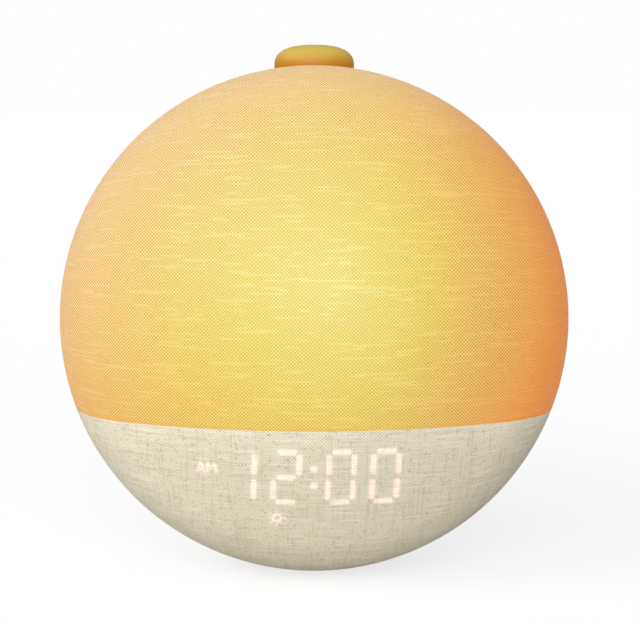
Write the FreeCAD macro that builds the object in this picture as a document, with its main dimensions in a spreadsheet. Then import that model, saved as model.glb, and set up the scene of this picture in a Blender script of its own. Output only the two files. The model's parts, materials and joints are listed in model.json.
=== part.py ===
import FreeCAD, Part
import math
import os
import re
import Sketcher

# A round sunrise alarm clock that stands on a table: a domed cloth front with a light chamber above
# a seam and a display below it, a push button on top, and a rounded rear housing.
#
# Sizes are in millimetres. Each piece is drawn about the centre of the round front: X to the right,
# Y towards the back, Z up. The widest circle of the cloth lies in the plane Y = 0. Every piece is then
# placed so that the origin lies on the table, under the middle of the whole clock.

doc = FreeCAD.newDocument("sunrise_clock")

# Driving sizes
SIZES = [
    ("body_radius", 100, "radius of the cloth front, seen from the front"),
    ("front_depth", 54, "how far the dome stands out from its widest circle"),
    ("shoulder_radius", 38, "rounding of the dome's edge"),
    ("back_depth", 50, "from the widest circle to the flat back"),
    ("table_gap", 1, "between the cloth's lowest point and the table"),
    ("cloth_thickness", 0.8, "woven cover"),
    ("cloth_gap", 0.3, "between the cover and what it is stretched over"),
    ("hem_inner_bend", 0.4, "inside radius where the cover turns behind the frame"),
    ("hem_width", 4.8, "width of the cover's turned-in hem"),
    ("hem_gap", 0.2, "on each side of the hem, where it is clamped"),
    ("lens_wall", 2, "wall of the diffuser and of the shell below it"),
    ("seam_over", 4.7, "seam above the display's window"),
    ("baffle_wall", 1.6, "light-tight wall at the seam"),
    ("frame_plate", 2.2, "mid frame's disc"),
    ("spigot_depth", 6, "frame's rim inside the dome"),
    ("spigot_wall", 3.5, "wall of that rim"),
    ("fit_gap", 0.3, "between loosely nested parts"),
    ("snug_gap", 0.1, "between parts that locate each other"),
    ("board_thickness", 1.6, "circuit boards"),
    ("post_radius", 3.2, "posts that carry boards"),
    ("screw_radius", 1.2, "shank of the small screws"),
    ("screw_head_radius", 2.2, "head of the small screws"),
    ("screw_head_height", 1.3, "head of the small screws"),
    ("screw_bite", 5, "small screw below its board"),
    ("screw_inset", 6, "screws from the edges of their boards"),
    ("light_board_radius", 62, "round board behind the diffuser"),
    ("light_board_front", 10, "its LED side, in front of the widest circle"),
    ("light_board_margin", 5.3, "light board's lower straight edge above the seam"),
    ("light_post_side", 24, "light board screws from its edge, sideways"),
    ("light_post_head", 30, "upper light board screws below its top"),
    ("light_post_margin", 8, "lower light board screws above that edge"),
    ("led_radius", 1.9, "light LEDs"),
    ("led_height", 1.3, "light LEDs"),
    ("led_edge", 8, "outer ring of light LEDs inside the board's edge"),
    ("led_clear", 5, "between the light LEDs and a screw's middle"),
    ("reflector_wall", 1.2, "white reflector"),
    ("reflector_rim", 6, "reflector's rim on the light board"),
    ("reflector_flat", 4, "reflector's rim inside the frame's"),
    ("mask_wall", 3.5, "display mask"),
    ("window_side", 7, "window beside the middle of the morning mark"),
    ("window_over", 3.5, "window above the middle of the digits' upper bars"),
    ("window_rise", 24, "window's lower edge above the cloth's lowest point"),
    ("mask_lip", 2.5, "mask's lip behind the window"),
    ("digit_row", -0.2, "middle of the row of digits, sideways"),
    ("digit_inner", 10.15, "inner digits from the middle of the row"),
    ("digit_outer", 26.7, "outer digits from the middle of the row"),
    ("digit_height", 20.6, "upper bar to lower bar"),
    ("digit_width", 9.3, "left bar to right bar"),
    ("bar_width", 2.3, "width of each light bar"),
    ("flat_bar_inset", 3.3, "level bars are shorter than the digit's width"),
    ("bar_gap", 2.7, "between the upper and the lower upright bars"),
    ("digit_slant", 0.046, "sideways lean for each mm of height"),
    ("colon_half", 3.4, "colon dots above and below the middle"),
    ("half_day_gap", 13.3, "morning mark beside the first digit, middle to middle"),
    ("half_day_raise", 2.9, "morning mark above the middle of the digits"),
    ("half_day_width", 8.6, "window of the morning mark"),
    ("half_day_height", 5.2, "window of the morning mark"),
    ("alarm_x", -14.1, "sun icon, sideways"),
    ("alarm_below", 17.4, "sun icon below the middle of the digits"),
    ("alarm_margin", 3.1, "sun icon's window above the mask's lower edge"),
    ("alarm_size", 7.4, "window of the sun icon"),
    ("display_board_front", 14, "display board's LED side, in front of the widest circle"),
    ("display_board_over", 1, "display board above the window"),
    ("display_board_under", 2, "display board below the window"),
    ("display_led_radius", 0.9, "display LEDs"),
    ("display_led_height", 1, "display LEDs"),
    ("ribbon_half", 10, "half the width of the display ribbon"),
    ("ribbon_thickness", 0.4, "display ribbon"),
    ("ribbon_room", 1.5, "around the ribbon where it passes the frame"),
    ("housing_step", 2, "rear housing inside the cloth's outline"),
    ("housing_wall", 2.5, "rear housing"),
    ("housing_round", 34, "rounding between its side and its back"),
    ("boss_x", 40, "housing screws, sideways"),
    ("boss_z", 38, "housing screws, above and below the centre"),
    ("boss_radius", 5.5, "tubes around the housing screws"),
    ("boss_meet", 11, "where the frame's and the housing's bosses meet"),
    ("boss_floor", 2.5, "floor of the housing's screw wells"),
    ("well_radius", 3.7, "bore of the screw wells"),
    ("long_screw_radius", 1.7, "housing screws' shank"),
    ("long_screw_head_radius", 3.1, "housing screws' head"),
    ("long_screw_head", 2.2, "height of that head"),
    ("long_screw_bite", 8, "housing screw inside the frame"),
    ("speaker_rise", 16, "speaker's axis above the centre"),
    ("speaker_radius", 26, "speaker's flange"),
    ("speaker_rim", 5, "flat rim of the speaker's flange"),
    ("speaker_flange", 1.2, "speaker's flange and the grille"),
    ("gasket_thickness", 1, "foam ring behind the speaker"),
    ("speaker_depth", 16, "speaker's frame"),
    ("basket_wall", 1, "speaker's frame"),
    ("speaker_neck", 7, "radius of the speaker's inner ring"),
    ("surround_width", 4, "speaker's surround"),
    ("cone_wall", 0.5, "speaker's cone, surround and dust cap"),
    ("cone_depth", 8, "speaker's cone"),
    ("magnet_radius", 14, "speaker's magnet"),
    ("magnet_depth", 8, "speaker's magnet"),
    ("pole_height", 5, "magnet's pole inside the frame"),
    ("grille_lip", 3, "grille plate around the speaker's opening"),
    ("grille_hole", 1.1, "radius of each grille hole"),
    ("grille_pitch", 3.9, "between rings of grille holes"),
    ("speaker_screw_inset", 2.2, "speaker's screws inside the flange's edge"),
    ("speaker_screw_radius", 0.95, "speaker's screws"),
    ("speaker_screw_head", 1.75, "speaker's screws"),
    ("speaker_screw_bite", 0.8, "speaker's screws in the housing"),
    ("main_inset", 4, "main board inside the edge of the flat back"),
    ("main_half", 36, "half the width of the main board"),
    ("main_front", 5, "front edge of the main board behind the widest circle"),
    ("main_behind", 3.8, "main board's rear edge before the flat back"),
    ("ledge_width", 8, "ledges under the main board"),
    ("ledge_thickness", 4.5, "ledges under the main board"),
    ("ledge_short", 3, "ledges end before the board's rear edge"),
    ("board_grid", 1, "grid that the main board's parts stand on"),
    ("inlet_width", 9, "power inlet's shell"),
    ("inlet_height", 3.3, "power inlet's shell"),
    ("inlet_wall", 0.35, "power inlet's shell"),
    ("inlet_depth", 7.4, "power inlet's shell"),
    ("tongue_recess", 1.2, "inlet's tongue behind its mouth"),
    ("tongue_side", 1.2, "inlet's tongue from its shell"),
    ("tongue_thickness", 0.7, "inlet's tongue"),
    ("wheel_show", 0.5, "thumbwheels stand out past the rear housing"),
    ("wheel_radius", 15.5, "thumbwheels"),
    ("neck_gap", 1.4, "between an encoder's neck and its thumbwheel"),
    ("wheel_width", 7, "thumbwheels"),
    ("wheel_gap", 0.6, "around the wheels in their slots"),
    ("knurl_radius", 0.8, "grooves in the wheels' rims"),
    ("shaft_radius", 3, "wheels' shafts"),
    ("running_gap", 0.05, "around a turning or sliding shaft"),
    ("encoder_board_front", 12, "encoder boards behind the widest circle"),
    ("encoder_board_half_width", 9, "encoder boards"),
    ("encoder_board_half_height", 12, "encoder boards"),
    ("encoder_post", 9.2, "encoder board screws above and below the axis"),
    ("encoder_half", 6, "half the width of an encoder"),
    ("encoder_depth", 6, "encoder's square body"),
    ("encoder_neck", 3, "encoder's round neck"),
    ("encoder_neck_radius", 4.2, "encoder's round neck"),
    ("button_y", 17, "button's axis behind the widest circle"),
    ("button_half_width", 15.8, "button, sideways"),
    ("button_half_depth", 11, "button, front to back"),
    ("button_rise", 2.4, "where the button starts to round over, above the rear housing"),
    ("button_crown", 8, "height of its rounded top"),
    ("button_roof_drop", 0.4, "button's inner roof below its shoulder"),
    ("button_wall", 2, "button's skirt"),
    ("button_lip", 1.8, "button's lip that holds it in"),
    ("button_lip_height", 1.4, "thickness of that lip"),
    ("button_seat_drop", 7, "stop above the lip, below the rear housing's top"),
    ("button_travel", 1.5, "how far the button goes down"),
    ("collar_wall", 2.2, "collar around the button's hole"),
    ("stem_radius", 2.5, "button's stem"),
    ("bridge_drop", 14, "guide bridge below the rear housing's top"),
    ("bridge_thickness", 2, "guide bridge"),
    ("bridge_half_width", 27, "guide bridge"),
    ("bridge_half_depth", 9, "guide bridge"),
    ("bridge_post_x", 23, "guide bridge's screws, sideways"),
    ("bush_radius", 3.8, "bush on the guide bridge"),
    ("bush_height", 3, "bush on the guide bridge"),
    ("spring_radius", 4.8, "return spring, to the middle of its wire"),
    ("spring_wire", 0.4, "radius of the spring's wire"),
    ("spring_turns", 6, "return spring"),
    ("button_board_drop", 8.4, "button board below the guide bridge's top"),
    ("button_board_half_width", 17, "button board"),
    ("button_board_half_depth", 7, "button board"),
    ("button_board_post_x", 14, "button board's screws, sideways"),
    ("tact_half", 3, "half the width of the tact switch"),
    ("tact_height", 3.5, "tact switch"),
    ("plunger_radius", 1.75, "tact switch's plunger"),
    ("plunger_height", 2.2, "tact switch's plunger"),
    ("plunger_sink", 1, "plunger inside the switch"),
    ("plunger_travel", 0.3, "tact switch's travel"),
    ("slide_drop", 26, "alarm switch below the centre"),
    ("slide_travel", 4, "alarm switch's travel"),
    ("slide_knob", 5, "alarm switch's knob, both ways"),
    ("slide_recess", 1.4, "depth of the recess around the knob"),
    ("slide_stem", 2.4, "knob's stem, both ways"),
    ("ridge_depth", 0.5, "grooves across the knob"),
    ("slide_body_half", 7.5, "half the width of the switch's body"),
    ("slide_body_height", 6, "switch's body"),
    ("slide_body_depth", 5.2, "switch's body"),
    ("foot_half_width", 24, "foot"),
    ("foot_half_depth", 19, "foot"),
    ("foot_set_back", 0.6, "foot behind the rear housing's front edge"),
    ("pad_thickness", 1.5, "rubber pad under the foot"),
    ("pad_inset", 1, "pad inside the foot's outline"),
    ("weight_height", 12, "iron weight above the housing's floor"),
    ("weight_half_width", 40, "iron weight"),
    ("weight_front", 6, "iron weight behind the widest circle"),
    ("weight_depth", 32, "iron weight, front to back"),
    ("base_screw_x", 12, "base screws, sideways"),
    ("base_screw_bite", 6, "base screws inside the weight"),
    ("lead_radius", 0.7, "insulated leads"),
    ("lead_bend", 4, "bends in the leads"),
    ("button_lead_x", 10, "button board's lead, sideways"),
    ("button_lead_ahead", 5, "button board's lead, ahead of the button"),
    ("speaker_lead_x", 14, "speaker's lead, sideways"),
    ("speaker_lead_drop", 19, "speaker's lead below its axis"),
    ("speaker_lead_out", 6, "speaker's lead before it turns down"),
    ("encoder_lead_in", 6, "encoder boards' leads from their axis"),
    ("encoder_lead_down", 14, "encoder boards' leads before they turn in"),
    ("encoder_lead_aside", 16, "encoder boards' leads beside the main board"),
]

sheet = doc.addObject("Spreadsheet::Sheet", "Sizes")
for line, (alias, size, meaning) in enumerate(SIZES, start=1):
    sheet.set(f"A{line}", alias)
    sheet.set(f"B{line}", str(size))
    sheet.set(f"C{line}", meaning)
    sheet.setAlias(f"B{line}", alias)
doc.recompute()

cells = {alias for alias, size, meaning in SIZES}
fits = doc.addObject("App::VarSet", "Fits")
worked_out = set()


def named(expression):
    """Point each size in an expression at the sheet or at the worked-out fits."""

    def owner(match):
        word = match.group(0)
        if word in cells:
            return "Sizes." + word
        if word in worked_out:
            return "Fits." + word
        return word

    return re.sub(r"[a-z][a-z_]+", owner, str(expression))


def value(expression):
    return float(sheet.evalExpression(named(expression)))


def bind(thing, name, expression):
    thing.setExpression(name, named(expression))


def fit(name, expression):
    """Keep a size that follows from others under a name of its own."""
    fits.addProperty("App::PropertyFloat", name)
    bind(fits, name, expression)
    worked_out.add(name)
    doc.recompute([fits])


# Sizes that follow from the driving ones
fit("centre_up", "body_radius + table_gap")
fit("centre_back", "(front_depth - back_depth)/2")
fit("apex_radius", "(body_radius^2 + front_depth^2 - 2*body_radius*shoulder_radius)"
    "/(2*(front_depth - shoulder_radius))")
fit("apex_centre", "apex_radius - front_depth")
fit("shoulder_centre", "body_radius - shoulder_radius")
fit("housing_radius", "body_radius - housing_step")
fit("housing_straight", "back_depth - housing_round")
fit("mask_bottom", "body_radius - window_rise")
fit("alarm_drop", "mask_bottom - alarm_margin - alarm_size/2")
fit("digit_drop", "alarm_drop - alarm_below")
fit("half_day_drop", "digit_drop - half_day_raise")
fit("half_day_x", "-digit_outer - half_day_gap")
fit("mask_half_width", "digit_outer + half_day_gap + window_side")
fit("mask_top", "digit_drop - digit_height/2 - window_over")
fit("seam_drop", "mask_top - seam_over")
fit("flat_bar", "digit_width - flat_bar_inset")
fit("upright_bar", "digit_height/2 - bar_gap")
fit("light_board_drop", "seam_drop - light_board_margin")
fit("light_post_down", "light_board_drop - light_post_margin")
fit("light_post_x", "light_board_radius - light_post_side")
fit("light_post_up", "light_board_radius - light_post_head")
fit("led_ring", "(light_board_radius - led_edge)/3")
fit("display_board_top", "mask_top - display_board_over")
fit("display_board_bottom", "mask_bottom + display_board_under")
fit("lens_out", "cloth_thickness + cloth_gap")
fit("lens_in", "lens_out + lens_wall")
fit("hem_bend", "hem_inner_bend + cloth_thickness")
fit("hem_front", "frame_plate + hem_gap")
fit("rim_depth", "hem_front - hem_inner_bend")
fit("housing_front", "hem_front + cloth_thickness + hem_gap")
fit("frame_radius", "body_radius - lens_out")
fit("spigot_radius", "shoulder_centre + sqrt((shoulder_radius - lens_in)^2 - spigot_depth^2) - fit_gap")
fit("seam_top", "baffle_wall/2 - seam_drop")
fit("seam_bottom", "-baffle_wall/2 - seam_drop")
fit("seam_half_width", "sqrt((spigot_radius - spigot_wall)^2 - seam_bottom^2) - fit_gap")
fit("light_board_back", "board_thickness - light_board_front")
fit("display_board_back", "board_thickness - display_board_front")
fit("guide_back", "-display_board_front - display_led_height - fit_gap")
fit("housing_flat", "housing_radius - housing_round")
fit("inside_radius", "housing_radius - housing_wall")
fit("inside_back", "back_depth - housing_wall")
fit("speaker_mouth", "speaker_radius - speaker_rim")
fit("grille_radius", "speaker_mouth + grille_lip")
fit("speaker_screw_ring", "speaker_radius - speaker_screw_inset")
fit("gasket_front", "inside_back - gasket_thickness")
fit("speaker_front", "gasket_front - speaker_flange")
fit("basket_back", "speaker_front - speaker_depth")
fit("basket_floor", "basket_back + 2*basket_wall")
fit("button_shoulder", "housing_radius + button_rise")
fit("button_seat", "housing_radius - button_seat_drop")
fit("bridge_top", "housing_radius - bridge_drop")
fit("button_board_top", "bridge_top - button_board_drop")
fit("cap_roof", "button_shoulder - button_roof_drop")
fit("tact_top", "button_board_top + tact_height")
fit("plunger_top", "tact_top - plunger_sink + plunger_height")
fit("stem_end", "plunger_top + button_travel - plunger_travel + running_gap")
fit("hole_half_width", "button_half_width + fit_gap")
fit("hole_half_depth", "button_half_depth + fit_gap")
fit("foot_bottom", "pad_thickness - centre_up")
fit("foot_y", "housing_front + foot_set_back + foot_half_depth")
fit("encoder_front", "encoder_board_front + board_thickness")
fit("wheel_front", "encoder_front + encoder_depth + encoder_neck + neck_gap")
fit("wheel_back", "wheel_front + wheel_width")
fit("wheel_offset", "housing_radius - wheel_radius + wheel_show")
fit("slide_floor", "back_depth - slide_recess")
fit("main_drop", "housing_flat - main_inset")
fit("main_under", "-main_drop - board_thickness")
fit("main_back", "back_depth - main_behind")


# Drawing helpers
def new_body(label, right="0", back="0", up="0"):
    """A piece drawn about a point given from the centre of the front."""
    body = doc.addObject("PartDesign::Body", label)
    place(body, right, back, up)
    return body


def place(piece, right="0", back="0", up="0"):
    bind(piece, "Placement.Base.x", right)
    bind(piece, "Placement.Base.y", f"centre_back + {back}")
    bind(piece, "Placement.Base.z", f"centre_up + {up}")


def new_tool(label):
    """A body that only shapes other pieces, left about the centre of the front."""
    return doc.addObject("PartDesign::Body", label)


def sketch_on(body, plane, level, name, shapes):
    """A sketch across X and Y at a height, or across X and Z at a depth."""
    sketch = body.newObject("Sketcher::SketchObject", name)
    support = [item for item in body.Origin.OriginFeatures if item.Role == plane][0]
    sketch.AttachmentSupport = [(support, "")]
    sketch.MapMode = "FlatFace"
    offset = f"-({level})" if plane == "XZ_Plane" else level
    bind(sketch, "AttachmentOffset.Base.z", offset)
    plan = Plan()
    for shape in shapes:
        shape(plan)
    plan.hand_over(sketch)
    return sketch


class Plan:
    """The edges and constraints of one sketch, gathered before they are handed over."""

    def __init__(self):
        self.edges = []
        self.constraints = []
        self.expressions = {}

    def add(self, edge):
        self.edges.append(edge)
        return len(self.edges) - 1

    def hold(self, *constraint, expression=None):
        if expression is not None:
            self.expressions[len(self.constraints)] = expression
            constraint = (*constraint, value(expression))
        self.constraints.append(Sketcher.Constraint(*constraint))

    def pin(self, edge, end, across, along):
        """Hold one point at its two distances from the origin."""
        self.hold("DistanceX", -1, 1, edge, end, expression=across)
        self.hold("DistanceY", -1, 1, edge, end, expression=along)

    def hand_over(self, sketch):
        sketch.addGeometry(self.edges, False)
        sketch.addConstraint(self.constraints)
        for index, expression in self.expressions.items():
            bind(sketch, f"Constraints[{index}]", expression)


def outline(*corners):
    """A closed outline. A corner with a radius starts an arc that bends left (1) or right (-1)."""

    def draw(plan):
        points = [(value(corner[0]), value(corner[1])) for corner in corners]
        first = len(plan.edges)
        ends = []
        for index, corner in enumerate(corners):
            start = FreeCAD.Vector(*points[index], 0)
            finish = FreeCAD.Vector(*points[(index + 1) % len(points)], 0)
            if len(corner) == 2:
                plan.add(Part.LineSegment(start, finish))
                ends.append((1, 2))
                continue
            radius = value(corner[2])
            side = corner[3]
            half = (finish - start) * 0.5
            reach = math.sqrt(radius**2 - half.Length**2)
            left = FreeCAD.Vector(-half.y, half.x, 0).normalize()
            centre = start + half + left * (side * reach)
            if side < 0:
                start, finish = finish, start
            angles = [math.atan2(end.y - centre.y, end.x - centre.x) for end in (start, finish)]
            circle = Part.Circle(centre, FreeCAD.Vector(0, 0, 1), radius)
            edge = plan.add(Part.ArcOfCircle(circle, *angles))
            plan.hold("Radius", edge, expression=corner[2])
            ends.append((1, 2) if side > 0 else (2, 1))
        for index, corner in enumerate(corners):
            last = (index - 1) % len(corners)
            plan.hold("Coincident", first + last, ends[last][1], first + index, ends[index][0])
            plan.pin(first + index, ends[index][0], corner[0], corner[1])

    return draw


def rectangle(left, right, low, high):
    return outline((left, low), (right, low), (right, high), (left, high))


def block(across, along, half_width, half_height):
    """A rectangle about a middle point."""
    return rectangle(f"{across} - ({half_width})", f"{across} + ({half_width})",
                     f"{along} - ({half_height})", f"{along} + ({half_height})")


def disc(across, along, radius):
    def draw(plan):
        middle = FreeCAD.Vector(value(across), value(along), 0)
        edge = plan.add(Part.Circle(middle, FreeCAD.Vector(0, 0, 1), value(radius)))
        plan.hold("Radius", edge, expression=radius)
        plan.pin(edge, 3, across, along)

    return draw


def extrude(body, kind, plane, start, finish, shapes):
    """Add or cut straight walls between two levels along the plane's own axis."""
    step = len(body.Group)
    sketch = sketch_on(body, plane, start, f"{body.Name}_outline_{step}", shapes)
    feature = body.newObject(f"PartDesign::{kind}", f"{body.Name}_{kind.lower()}_{step}")
    feature.Profile = sketch
    feature.Refine = False
    length = value(finish) - value(start)
    ahead = length > 0
    bind(feature, "Length", f"({finish}) - ({start})" if ahead else f"({start}) - ({finish})")
    along_normal = ahead if plane == "XY_Plane" else not ahead
    feature.Reversed = not along_normal if kind == "Pad" else along_normal
    return feature


def pad(body, plane, start, finish, *shapes):
    return extrude(body, "Pad", plane, start, finish, shapes)


def pocket(body, plane, start, finish, *shapes):
    return extrude(body, "Pocket", plane, start, finish, shapes)


def turn(body, kind, *corners):
    """Add or cut a shape turned about the Y axis, drawn as radius and depth."""
    step = len(body.Group)
    sketch = sketch_on(body, "XY_Plane", "0", f"{body.Name}_profile_{step}", [outline(*corners)])
    feature = body.newObject(f"PartDesign::{kind}", f"{body.Name}_{kind.lower()}_{step}")
    feature.Profile = sketch
    feature.ReferenceAxis = (sketch, ["V_Axis"])
    feature.Angle = 360
    feature.Refine = False
    return feature


def joined(kind, label, pieces):
    result = doc.addObject(f"Part::{kind}", label)
    result.Shapes = pieces
    result.Refine = False
    return result


def cut(label, base, tool):
    result = doc.addObject("Part::Cut", label)
    result.Base = base
    result.Tool = tool
    result.Refine = False
    return result


def oval(label, half_width, half_depth, middle, low, high):
    """An upright oval block about X = 0."""
    rim = doc.addObject("Part::Ellipse", f"{label}_rim")
    bind(rim, "MajorRadius", half_width)
    bind(rim, "MinorRadius", half_depth)
    bind(rim, "Placement.Base.y", middle)
    bind(rim, "Placement.Base.z", low)
    solid = doc.addObject("Part::Extrusion", label)
    solid.Base = rim
    solid.DirMode = "Custom"
    solid.Dir = FreeCAD.Vector(0, 0, 1)
    solid.Solid = True
    bind(solid, "LengthFwd", f"({high}) - ({low})")
    return solid


pieces = {}


def keep(piece):
    """Count a finished piece among those that are written out."""
    pieces[piece.Label] = piece
    return piece


def screws(label, plane, seat, towards, spots, bite="screw_bite", sizes=""):
    """Round-head screws: a head standing on its seat and a shank going the other way.

    towards is 1 if the shank runs along the axis, and -1 if it runs against it.
    """
    body = new_body(label)
    shank, head, height = "screw_radius", "screw_head_radius", "screw_head_height"
    if sizes:
        shank, head, height = sizes
    discs = [disc(across, along, head) for across, along in spots]
    top = f"{seat} - ({towards}*({height}))"
    pad(body, plane, seat, top, *discs)
    discs = [disc(across, along, shank) for across, along in spots]
    pad(body, plane, seat, f"{seat} + ({towards}*({bite}))", *discs)
    slots = [block(across, along, f"{head}*0.6", "0.3") for across, along in spots]
    pocket(body, plane, top, f"{top} + ({towards}*0.6)", *slots)
    return keep(body)


# The dome's outline
def apex_point(inset):
    return "0", f"({inset}) - front_depth"


def joint_point(inset):
    """Where the dome's large arc runs into its shoulder."""
    share = f"(apex_radius - ({inset}))/(apex_radius - shoulder_radius)"
    return f"{share}*shoulder_centre", f"apex_centre - {share}*apex_centre"


def dome_out(inset):
    """From the middle of the front out to the widest circle."""
    return [(*apex_point(inset), f"apex_radius - ({inset})", 1),
            (*joint_point(inset), f"shoulder_radius - ({inset})", 1)]


def dome_back(inset):
    """From the widest circle back to the middle."""
    return [(f"body_radius - ({inset})", "0", f"shoulder_radius - ({inset})", -1),
            (*joint_point(inset), f"apex_radius - ({inset})", -1),
            apex_point(inset)]


def dome_shell(body, outside, inside):
    turn(body, "Revolution", *dome_out(outside), (f"body_radius - ({outside})", "0"), *dome_back(inside))


def dome_solid(label, inset):
    body = new_tool(label)
    turn(body, "Revolution", *dome_out(inset), (f"body_radius - ({inset})", "0"), ("0", "0"))
    return body


# Woven cover, one skin over the whole front
cover = new_body("fabric_cover")
turn(cover, "Revolution",
     *dome_out("0"),
     ("body_radius", "0"),
     ("body_radius", "rim_depth", "hem_bend", 1),
     ("body_radius - hem_bend", "rim_depth + hem_bend"),
     ("body_radius - hem_bend - hem_width", "rim_depth + hem_bend"),
     ("body_radius - hem_bend - hem_width", "hem_front"),
     ("body_radius - hem_bend", "hem_front", "hem_inner_bend", -1),
     ("body_radius - cloth_thickness", "rim_depth"),
     *dome_back("cloth_thickness"))
keep(cover)

# Milky diffuser above the seam
diffuser = new_body("diffuser_dome")
dome_shell(diffuser, "lens_out", "lens_in")
pocket(diffuser, "XZ_Plane", "-front_depth", "1", rectangle("-body_radius", "body_radius",
                                                          "-body_radius", "seam_top"))
keep(diffuser)

# Opaque shell below the seam, with the display's window
lower = new_body("lower_front_shell")
dome_shell(lower, "lens_out", "lens_in")
pocket(lower, "XZ_Plane", "-front_depth", "1", rectangle("-body_radius", "body_radius",
                                                       "seam_bottom", "body_radius"))
pocket(lower, "XZ_Plane", "-front_depth", "1",
       rectangle("-mask_half_width - snug_gap", "mask_half_width + snug_gap",
                 "-mask_bottom - snug_gap", "snug_gap - mask_top"))
keep(lower)

# Light-tight wall between the two chambers, whose edge makes the crisp seam
baffle_plan = new_tool("baffle_plan")
pad(baffle_plan, "XY_Plane", "seam_bottom", "seam_top",
    outline(("-seam_half_width", "0"),
            ("-seam_half_width", "-spigot_depth - fit_gap"),
            ("-body_radius", "-spigot_depth - fit_gap"),
            ("-body_radius", "-front_depth"),
            ("body_radius", "-front_depth"),
            ("body_radius", "-spigot_depth - fit_gap"),
            ("seam_half_width", "-spigot_depth - fit_gap"),
            ("seam_half_width", "0")))
baffle = joined("MultiCommon", "light_baffle", [baffle_plan, dome_solid("baffle_dome", "lens_out")])
place(baffle)
keep(baffle)

# Places that several pieces share
SIDES = ("", "-")
light_posts = [(f"{sign}light_post_x", up)
               for sign in SIDES for up in ("light_post_up", "-light_post_down")]
display_post_x = "mask_half_width - screw_inset"
display_posts = [(f"{sign}({display_post_x})", up) for sign in SIDES
                 for up in ("-display_board_top - screw_inset", "screw_inset - display_board_bottom")]
housing_spots = [(f"{sign}boss_x", f"{rise}boss_z") for sign in SIDES for rise in ("", "-")]
encoder_posts = [(f"{sign}wheel_offset", f"{rise}encoder_post") for sign in SIDES for rise in ("", "-")]
light_hole = disc("0", "-light_post_down", "3")
ribbon_hole = rectangle("-ribbon_half - ribbon_room", "ribbon_half + ribbon_room",
                        "main_under - ribbon_room", "ribbon_room - main_drop")

# Mid frame: the disc that everything is fastened to
frame = new_body("mid_frame")
turn(frame, "Revolution",
     ("0", "0"),
     ("spigot_radius - spigot_wall", "0"),
     ("spigot_radius - spigot_wall", "-spigot_depth"),
     ("spigot_radius", "-spigot_depth"),
     ("spigot_radius", "0"),
     ("frame_radius", "0"),
     ("frame_radius", "frame_plate"),
     ("0", "frame_plate"))
pad(frame, "XZ_Plane", "0", "light_board_back", *[disc(*spot, "post_radius") for spot in light_posts])
pad(frame, "XZ_Plane", "0", "display_board_back", *[disc(*spot, "post_radius") for spot in display_posts])
pad(frame, "XZ_Plane", "frame_plate", "boss_meet", *[disc(*spot, "boss_radius") for spot in housing_spots])
pad(frame, "XZ_Plane", "frame_plate", "encoder_board_front",
    *[disc(*spot, "post_radius") for spot in encoder_posts])
ledge_middle = "main_half - ledge_width/2"
ledges = [block(f"{sign}({ledge_middle})", "main_under - ledge_thickness/2", "ledge_width/2",
                "ledge_thickness/2") for sign in SIDES]
pad(frame, "XZ_Plane", "frame_plate", "main_back - ledge_short", *ledges)
pocket(frame, "XZ_Plane", "light_board_back", f"light_board_back + screw_bite",
       *[disc(*spot, "screw_radius + running_gap") for spot in light_posts])
pocket(frame, "XZ_Plane", "display_board_back", f"display_board_back + screw_bite",
       *[disc(*spot, "screw_radius + running_gap") for spot in display_posts])
pocket(frame, "XZ_Plane", "boss_meet", "boss_meet - long_screw_bite - 1",
       *[disc(*spot, "long_screw_radius + running_gap") for spot in housing_spots])
pocket(frame, "XZ_Plane", "encoder_board_front", "encoder_board_front - screw_bite",
       *[disc(*spot, "screw_radius + running_gap") for spot in encoder_posts])
main_spots = [(f"{sign}({ledge_middle})", depth) for sign in SIDES
              for depth in ("main_front + screw_inset", "main_back - screw_inset")]
pocket(frame, "XY_Plane", "main_under", "main_under - ledge_thickness",
       *[disc(*spot, "screw_radius + running_gap") for spot in main_spots])
pocket(frame, "XZ_Plane", "-1", "frame_plate + 1", light_hole, ribbon_hole)
keep(frame)

# White reflector around the light board
reflector = new_body("light_reflector")
turn(reflector, "Revolution",
     ("light_board_radius - reflector_rim", "-light_board_front"),
     ("light_board_radius - reflector_rim", "-light_board_front - reflector_wall"),
     ("light_board_radius", "-light_board_front - reflector_wall"),
     ("spigot_radius - spigot_wall - reflector_flat", "-spigot_depth - reflector_wall"),
     ("spigot_radius - snug_gap", "-spigot_depth - reflector_wall"),
     ("spigot_radius - snug_gap", "-spigot_depth"),
     ("spigot_radius - spigot_wall - reflector_flat", "-spigot_depth"),
     ("light_board_radius + reflector_wall/2", "-light_board_front"))
pocket(reflector, "XZ_Plane", "-front_depth", "1",
       rectangle("-body_radius", "body_radius", "-body_radius", "seam_top + fit_gap"))
keep(reflector)

# Light board with its LEDs
light_board = new_body("light_board")
pad(light_board, "XZ_Plane", "-light_board_front", "light_board_back", disc("0", "0", "light_board_radius"))
pocket(light_board, "XZ_Plane", "-light_board_front - 1", "light_board_back + 1",
       rectangle("-light_board_radius - 1", "light_board_radius + 1",
                 "-light_board_radius - 1", "-light_board_drop"),
       *[disc(*spot, "screw_radius + running_gap") for spot in light_posts])
keep(light_board)
screws("light_board_screws", "XZ_Plane", "-light_board_front", 1, light_posts,
       "board_thickness + screw_bite - 1")

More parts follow.
